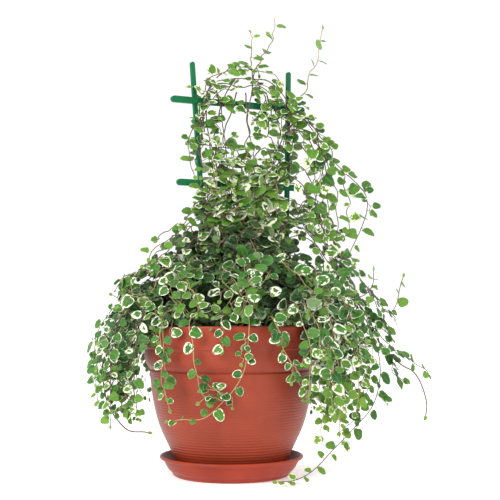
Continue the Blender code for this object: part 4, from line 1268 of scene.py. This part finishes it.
    def blades_block(self, grid):
        """All the blades: cupped, drooped, waved and twisted a little, each in its own way."""
        corners, quads, tris, _ = grid
        chance = self.chance
        count = len(self.leaves)
        width = self.settings.leaf_width
        thick = self.settings.leaf_thickness / self.settings.leaf_length
        x, y, layer, share = corners.T
        ways = np.array([[chance.uniform(low, high) for low, high in BLADE_RANGES] for _ in self.leaves])
        cup, fold, droop, wave, phase, twist, broad = ways.T[:, :, None]
        x = x * width * broad
        lift = (cup * 0.6 * x ** 2 + fold * 0.30 * abs(x) - droop * 0.30 * y ** 2
                + wave * 0.055 * np.sin(math.tau * 1.4 * y + phase + np.sign(share)) * share ** 2
                + twist * 0.4 * x * (y - 0.3) + layer * thick * (0.5 + 0.25 * (share == 0.0)))
        _, neck, forward, across, facing, length = self.columns()
        coords = neck[:, None] + length[:, None] * (across[:, None] * x[:, :, None]
                                                    + forward[:, None] * y[None, :, None]
                                                    + facing[:, None] * lift[:, :, None])
        size = len(corners)
        place = np.stack((margin_depth(corners, width), y, share), axis=1)
        nature = np.array([(chance.random(), leaf.youth, leaf.cream) for leaf in self.leaves])
        return Block(coords.reshape(-1, 3), offset_faces(quads, count, size), offset_faces(tris, count, size),
                     LEAF_MATERIAL, np.tile(place, (count, 1)), np.repeat(nature, size, axis=0),
                     np.tile(0.5 - layer / 2, count))

    def stalks_block(self):
        """The stalks, three-sided, from the stem to a little way under each blade."""
        sides = 3
        root, neck, forward, _, facing, length = self.columns()
        axis = neck - root
        axis /= np.linalg.norm(axis, axis=1, keepdims=True)
        first = facing - axis * np.sum(facing * axis, axis=1, keepdims=True) + forward * 1e-3
        first /= np.linalg.norm(first, axis=1, keepdims=True)
        second = np.cross(axis, first)
        under = neck + forward * length * 0.09 - facing * length * 0.012
        centres = (root, (root + neck) / 2 + first * length * 0.02, under)
        angles = [math.tau * k / sides for k in range(sides)]
        rings = []
        for centre, radius in zip(centres, STALK_RADII):
            ring = [centre + (first * math.cos(a) + second * math.sin(a)) * radius for a in angles]
            rings.append(np.stack(ring, axis=1))
        coords = np.concatenate(rings, axis=1).reshape(-1, 3)
        quads = np.array([(low + k, low + (k + 1) % sides, low + sides + (k + 1) % sides, low + sides + k)
                          for low in (0, sides) for k in range(sides)])
        tris = np.array([(2, 1, 0), (6, 7, 8)])
        count = len(self.leaves)
        size = sides * len(centres)
        nature = [(0.5, 0.35 + 0.5 * max(0.0, leaf.youth), 0.15 + leaf.cream) for leaf in self.leaves]
        zeros = np.zeros((count * size, 3))
        return Block(coords, offset_faces(quads, count, size), offset_faces(tris, count, size), STEM_MATERIAL,
                     zeros, np.repeat(np.array(nature), size, axis=0), zeros[:, 0])

    def columns(self):
        """The leaves' roots, necks, directions and lengths, as one array each."""
        parts = [rows([leaf[i] for leaf in self.leaves]) for i in range(5)]
        return *parts, np.array([leaf.length for leaf in self.leaves])[:, None]

    def finish(self, grid, materials):
        """Make the piece's mesh, with the attributes that its materials read."""
        if not self.leaves:
            raise RuntimeError(f"{self.name} has no leaves")
        blocks = [self.stem_block(*stem) for stem in self.stems]
        blocks += [self.blades_block(grid), self.stalks_block()]
        starts = np.cumsum([0] + [len(block.coords) for block in blocks])
        coords = np.concatenate([block.coords for block in blocks])
        quads = np.concatenate([block.quads + start for block, start in zip(blocks, starts)])
        tris = np.concatenate([block.tris + start for block, start in zip(blocks, starts)])
        kinds = [np.full(len(block.quads), block.material) for block in blocks]
        kinds += [np.full(len(block.tris), block.material) for block in blocks]
        mesh = mesh_of(self.name, coords, quads, tris, np.concatenate(kinds))
        for name, kind, key in (("place", "FLOAT_VECTOR", "vector"), ("nature", "FLOAT_VECTOR", "vector"),
                                ("under", "FLOAT", "value")):
            values = np.concatenate([getattr(block, name) for block in blocks]).astype(np.float32)
            mesh.attributes.new(f"leaf_{name}", kind, "POINT").data.foreach_set(key, values.ravel())
        self.sharpen_rims(mesh, grid, starts[len(self.stems)])
        return add_object(self.name, mesh, *materials)

    def sharpen_rims(self, mesh, grid, start):
        """Keep the blades' rims crisp, so that both faces shade as flat leaves do."""
        corners, _, _, rim = grid
        size = len(corners)
        table = np.zeros((size, size), bool)
        for a, b in rim:
            table[a, b] = table[b, a] = True
        ends = np.zeros(len(mesh.edges) * 2, np.int32)
        mesh.edges.foreach_get("vertices", ends)
        ends = ends.reshape(-1, 2) - start
        inside = (ends.min(axis=1) >= 0) & (ends.max(axis=1) < size * len(self.leaves))
        sharp = inside & table[ends[:, 0] % size, ends[:, 1] % size]
        mesh.attributes.new("sharp_edge", "BOOLEAN", "EDGE").data.foreach_set("value", sharp)


def climbing_routes():
    """Routes of the frame's climbing shoots; a side shoot starts on the one that bears it."""
    routes = []
    for bearer, *_, points in CLIMBING_SHOOTS:
        route = [trellis_point(*point) for point in points]
        if bearer is not None:
            path = curve(routes[bearer], 22.0)
            route[0] = min(path, key=lambda point: (point - route[0]).length).copy()
        routes.append(route)
    return routes


def arching_route(bearing, swing, reach, arch, tip):
    """A shoot that rises from the soil, arches over the rim and hangs down outside it."""
    past_rim = reach - OVER_RIM
    stations = ((ROOT_RADIUS, 0.0, ROOT_HEIGHT), (ROOT_RADIUS + 4.0, 0.05, arch - 15.0),
                (OVER_RIM + 0.3 * past_rim, 0.2, arch), (OVER_RIM + 0.65 * past_rim, 0.4, arch - 11.0),
                (OVER_RIM + 0.92 * past_rim, 0.6, 0.6 * arch + 0.4 * tip),
                (reach, 0.8, 0.3 * arch + 0.7 * tip), (reach - 2.0, 1.0, tip))
    return [polar(radius, math.radians(bearing + swing * share), height)
            for radius, share, height in stations]


def trailing_route(name):
    if name in ARCHING_SHOOTS:
        return arching_route(*ARCHING_SHOOTS[name])
    return [Vector(point) for point in ROUTED_SHOOTS[name]]


def companion(name, chance):
    """A shoot that keeps a trailing shoot company: turned a little, drawn in and often shorter."""
    if name in ARCHING_SHOOTS:
        bearing, swing, reach, arch, tip = ARCHING_SHOOTS[name]
        near = OVER_RIM + (reach - OVER_RIM) * chance.uniform(0.2, 0.95)
        return arching_route(bearing + chance.uniform(-8.0, 8.0), swing + chance.uniform(-8.0, 8.0),
                             max(near, 104.0), arch + chance.uniform(-20.0, 2.0),
                             tip + (arch - 50.0 - tip) * chance.uniform(-0.1, 0.6))
    turn = Matrix.Rotation(math.radians(chance.uniform(-8.0, 8.0)), 3, "Z")
    inward = chance.uniform(0.80, 0.95)
    path = curve(trailing_route(name), 9.0)
    kept = path[:max(5, int(len(path) * chance.uniform(0.35, 0.72)))]
    lift = chance.uniform(-8.0, 5.0)
    moved = []
    for i, point in enumerate(kept):
        share = min(1.0, i / 4)
        scale = 1.0 + (inward - 1.0) * share
        moved.append(turn @ Vector((point.x * scale, point.y * scale, point.z + lift * share)))
    return [moved[0]] + moved[1:-1:2] + [moved[-1]]


def mound_reach(bearing, height):
    """How far the mound's leaves reach; less to the front and back than to the sides."""
    side = abs(math.cos(bearing)) ** 1.5
    front = 0.80 if math.sin(bearing) < 0 else 0.90
    return float(np.interp(height, MOUND_HEIGHTS, MOUND_REACHES)) * (front + (1.0 - front) * side)


def mound_route(i, chance):
    """A twig of the mound, from its middle out to its skin, where it nods."""
    bearing = math.tau * (i * GOLDEN % 1.0)
    height = 150.0 + 84.0 * (i * SILVER % 1.0) ** 1.25
    reach = mound_reach(bearing, height) * chance.uniform(0.76, 1.03)
    out = Vector((math.cos(bearing), math.sin(bearing), 0.0))
    centre = TRELLIS_PLACE * 0.4
    start = centre + out * reach * 0.28 + UP * max(SOIL_TOP + 4.0, height - chance.uniform(14.0, 34.0))
    swerve = Vector((-out.y, out.x, 0.0)) * chance.uniform(-14.0, 14.0)
    nod = chance.uniform(3.0, 13.0)
    return [start, centre + out * reach * 0.62 + swerve + UP * (height + chance.uniform(0.0, 8.0)),
            centre * 0.5 + out * (reach - 6.0) + UP * height, out * (reach + 2.0) + UP * (height - nod)]


def column_route(i, chance):
    """A shoot that climbs the lower trellis, in front of it and behind it in turn."""
    spread = 2.0 * (i * GOLDEN % 1.0) - 1.0
    top = 240.0 + 76.0 * (i * SILVER % 1.0)
    front = 1.0 if i % 5 < 3 else -1.0
    s = spread * 35.0
    points = []
    for share in (0.0, 0.35, 0.7, 1.0):
        z = 178.0 + (top - 178.0) * share
        bulge = 1.0 - 0.35 * share
        points.append(trellis_point(s * (0.75 + 0.35 * share) + chance.uniform(-7.0, 7.0) + 3.0,
                                    front * chance.uniform(5.0, 17.0) * bulge, z))
    points[-1] += outward(points[-1]) * chance.uniform(0.0, 9.0)
    return points


def runner_route(i, chance):
    """A thin runner over the mound's skin, from the trellis down to the rim."""
    bearing = math.radians(185.0 + 170.0 * (i * GOLDEN % 1.0))
    route = [trellis_point(chance.uniform(-26.0, 36.0), 13.0, chance.uniform(204.0, 232.0))]
    for height in (194.0, 174.0, 157.0):
        bearing += math.radians(chance.uniform(-15.0, 15.0))
        reach = mound_reach(bearing, height) * chance.uniform(0.98, 1.05)
        route.append(polar(reach, bearing, height))
    return route


def fringe_route(bearing, drop, chance):
    """A short shoot that leans over the rim and hangs just outside the collar."""
    route = []
    for radius, height in ((64.0, 146.0), (78.0, 156.0), (90.0, 154.0), (93.0, 146.0), (92.0, 146.0 - drop)):
        route.append(polar(radius, bearing + math.radians(chance.uniform(-4.0, 4.0)), height))
    return route


def make_climbing(settings, grid, materials):
    """The shoots over the trellis, the leafy column and the mound, which stand for one node."""
    upper = Foliage("trellis_shoots", CLIMBING_SEED, settings)
    for route, dress in zip(climbing_routes(), CLIMBING_SHOOTS):
        _, spacing, size, young, twigs, _ = dress
        upper.strand(route, first=12.0, spacing=spacing, size=size, cream=0.08, young=young, pale=0.02,
                     twigs=twigs, old=-0.4)
    for spacing, cream, young, twigs, points in ARCH_SHOOTS + CASCADE_SHOOTS:
        upper.strand([trellis_point(*p) for p in points], first=6.0, spacing=spacing * 1.25, size=0.92,
                     cream=cream * 2.8, young=young, pale=0.05, twigs=twigs, wander=1.2, old=-0.55)
    for spacing, cream, young, twigs, points in WINDOW_SHOOTS + LEFT_TOP_SHOOTS:
        upper.strand([trellis_point(*p) for p in points], first=9.0, spacing=spacing * 1.1, size=0.86,
                     cream=cream * 2.0, young=young, pale=0.0, twigs=twigs, thick=1.1, wander=1.6, old=-0.3)

    column = Foliage("column_foliage", CLIMBING_SEED + 1, settings, 0.7)
    for i in range(settings.column_twigs):
        column.strand(column_route(i, column.chance), first=5.0, spacing=8.0, size=1.0, cream=0.42,
                      young=0.35 if i % 3 else 0.9, pale=0.25, twigs=1, thick=0.9, wander=1.2, old=-0.4)

    mound_front = Foliage("mound_front", CLIMBING_SEED + 2, settings, 0.9)
    mound_back = Foliage("mound_back", CLIMBING_SEED + 3, settings, 0.9)
    for i in range(settings.runners):
        route = runner_route(i, mound_front.chance)
        mound_front.strand(route, first=8.0, spacing=13.0, size=0.90, cream=0.10, young=0.5, pale=0.6,
                           thick=0.6, wander=2.2)
    for i in range(settings.mound_twigs):
        route = mound_route(i, mound_front.chance)
        front = max(0.0, -route[-1].normalized().y)
        hides_collar = front > COLLAR_SEEN_FACING and route[-1].z < COLLAR_SEEN_BELOW
        if hides_collar and i % 5:
            continue
        mound = mound_front if front > 0.0 else mound_back
        # Painted shade: old=3.2 darkens the leaves near the twigs' roots, deep inside the mound.
        mound.strand(route, first=10.0, spacing=7.8, size=0.92, cream=0.135 + 0.06 * front, young=0.25,
                     pale=0.05 + 0.3 * front, wander=1.2, old=3.2)
    for i in range(settings.fringe):
        bearing = math.tau * (i + 0.5) / settings.fringe
        hides_collar = abs(bearing - COLLAR_SEEN_MIDDLE) < COLLAR_SEEN_HALF
        if hides_collar and i % 4:
            continue
        mound = mound_front if math.sin(bearing) < 0 else mound_back
        route = fringe_route(bearing, mound.chance.uniform(4.0, 24.0), mound.chance)
        mound.strand(route, first=8.0, spacing=8.0, size=0.95, cream=0.10, young=0.4, pale=0.3, thick=0.8,
                     old=0.8)
    for bunch in (upper, column, mound_front, mound_back):
        show(bunch.finish(grid, materials), "climbing_leaves", "climbing_foliage")


def make_trailing(settings, grid, materials):
    """Each trailing shoot with the finer shoots beside it; the piece has its node's name."""
    for i, (name, dress) in enumerate(TRAILING_DRESS.items()):
        companions, twigs, size, cream, young, leafy = dress
        spacing, pale, thick, old = SIDE_DRESS[name.split("_")[0]]
        if name in TAN_SHOOTS:
            pale = TAN
        if leafy < 1.0:
            thick = BARE_END_THICKNESS
        look = {"size": size, "cream": cream, "young": young}
        bunch = Foliage(name, TRAILING_SEED + i, settings)
        route = trailing_route(name)
        route.insert(0, Vector((route[0].x, route[0].y, SOIL_TOP - 2.0)))
        bunch.strand(route, first=24.0, spacing=spacing, pale=pale, twigs=twigs, thick=thick, leafy=leafy,
                     **look)
        for _ in range(companions):
            bunch.strand(companion(name, bunch.chance), first=22.0, spacing=8.6, pale=pale, twigs=1,
                         thick=0.85, wander=2.4, old=old, **look)
        for points in SIDE_SHOOTS.get(name, ()):
            bunch.strand([Vector(point) for point in points], first=5.0, spacing=7.6, pale=pale, thick=0.8,
                         wander=1.2, old=0.3, **look)
        for _ in range(companions // 2):
            bunch.strand(companion(name, bunch.chance), first=30.0, spacing=24.0, pale=0.5, twigs=1,
                         thick=0.7, wander=5.0, **look)
        show(bunch.finish(grid, materials), "trailing_leaves", name)


def make_lights(settings):
    """A white surround, one large soft light at the front left and a weaker one on the right."""
    world = bpy.data.worlds.new("white surround")
    world.use_nodes = True
    back = world.node_tree.nodes["Background"]
    back.inputs["Color"].default_value = (1.0, 1.0, 1.0, 1.0)
    back.inputs["Strength"].default_value = settings.surround
    bpy.context.scene.world = world
    for name, size, place in LIGHTS:
        data = bpy.data.lights.new(name, "AREA")
        data.shape = "DISK"
        data.size = size
        data.energy = getattr(settings, name)
        light = bpy.data.objects.new(name, data)
        light.location = place
        light.rotation_euler = (LIGHT_AIM - Vector(place)).to_track_quat("-Z", "Y").to_euler()
        bpy.context.scene.collection.objects.link(light)


def make_stage(settings):
    """A plain pale floor, the lights and the camera at the photograph's viewing angle."""
    mesh = bpy.data.meshes.new("floor")
    r = FLOOR_REACH
    mesh.from_pydata([(-r, -r, 0.0), (r, -r, 0.0), (r, r, 0.0), (-r, r, 0.0)], [], [(0, 1, 2, 3)])
    add_object("floor", mesh, floor_material(tuple(settings.floor_colour)))
    make_lights(settings)
    data = bpy.data.cameras.new("camera")
    data.sensor_width = SENSOR
    data.lens = LENS
    camera = bpy.data.objects.new("camera", data)
    camera.location = CAMERA_PLACE
    camera.rotation_euler = (math.radians(CAMERA_PITCH), 0.0, 0.0)
    bpy.context.scene.collection.objects.link(camera)
    bpy.context.scene.camera = camera
    bpy.context.scene.view_settings.view_transform = "Standard"


class FIG_OT_pot(bpy.types.Operator):
    """Make the pot and its saucer"""
    bl_idname = "fig.pot"
    bl_label = "Pot and Saucer"

    def execute(self, context):
        make_pot(context.scene.fig_pot)
        make_saucer(context.scene.fig_pot)
        return {"FINISHED"}


class FIG_OT_soil(bpy.types.Operator):
    """Fill the pot with soil"""
    bl_idname = "fig.soil"
    bl_label = "Soil"

    def execute(self, context):
        make_soil(context.scene.fig_soil)
        return {"FINISHED"}


class FIG_OT_trellis(bpy.types.Operator):
    """Make the ladder trellis"""
    bl_idname = "fig.trellis"
    bl_label = "Trellis"

    def execute(self, context):
        make_trellis(context.scene.fig_trellis)
        return {"FINISHED"}


class FIG_OT_foliage(bpy.types.Operator):
    """Grow the leafy stems of the mound, the trellis and the trailing shoots"""
    bl_idname = "fig.foliage"
    bl_label = "Stems and Leaves"

    def execute(self, context):
        settings = context.scene.fig_foliage
        grid = leaf_grid()
        materials = (leaf_material(settings), stem_material())
        Foliage.taken.clear()
        make_trailing(settings, grid, materials)
        make_climbing(settings, grid, materials)
        return {"FINISHED"}


class FIG_OT_stage(bpy.types.Operator):
    """Set the floor, the lights and the camera"""
    bl_idname = "fig.stage"
    bl_label = "Stage"

    def execute(self, context):
        make_stage(context.scene.fig_stage)
        return {"FINISHED"}


OPERATORS = (FIG_OT_pot, FIG_OT_soil, FIG_OT_trellis, FIG_OT_foliage, FIG_OT_stage)


class FIG_PT_panel(bpy.types.Panel):
    """Lists the pieces and their settings"""
    bl_idname = "FIG_PT_panel"
    bl_label = "Creeping Fig"
    bl_space_type = "VIEW_3D"
    bl_region_type = "UI"
    bl_category = "Creeping Fig"

    def draw(self, context):
        for operator, name in zip(OPERATORS, SETTINGS):
            box = self.layout.box()
            box.operator(operator.bl_idname)
            settings = getattr(context.scene, name)
            for prop in settings.bl_rna.properties:
                if prop.identifier not in {"rna_type", "name"}:
                    box.prop(settings, prop.identifier)


def register():
    for name, group in SETTINGS.items():
        bpy.utils.register_class(group)
        setattr(bpy.types.Scene, name, PointerProperty(type=group))
    for cls in OPERATORS + (FIG_PT_panel,):
        bpy.utils.register_class(cls)


def unregister():
    for cls in (FIG_PT_panel,) + OPERATORS[::-1]:
        bpy.utils.unregister_class(cls)
    for name, group in SETTINGS.items():
        delattr(bpy.types.Scene, name)
        bpy.utils.unregister_class(group)


def main():
    register()
    bpy.ops.fig.stage()
    bpy.ops.fig.pot()
    bpy.ops.fig.soil()
    bpy.ops.fig.trellis()
    bpy.ops.fig.foliage()


if __name__ == "__main__":
    main()
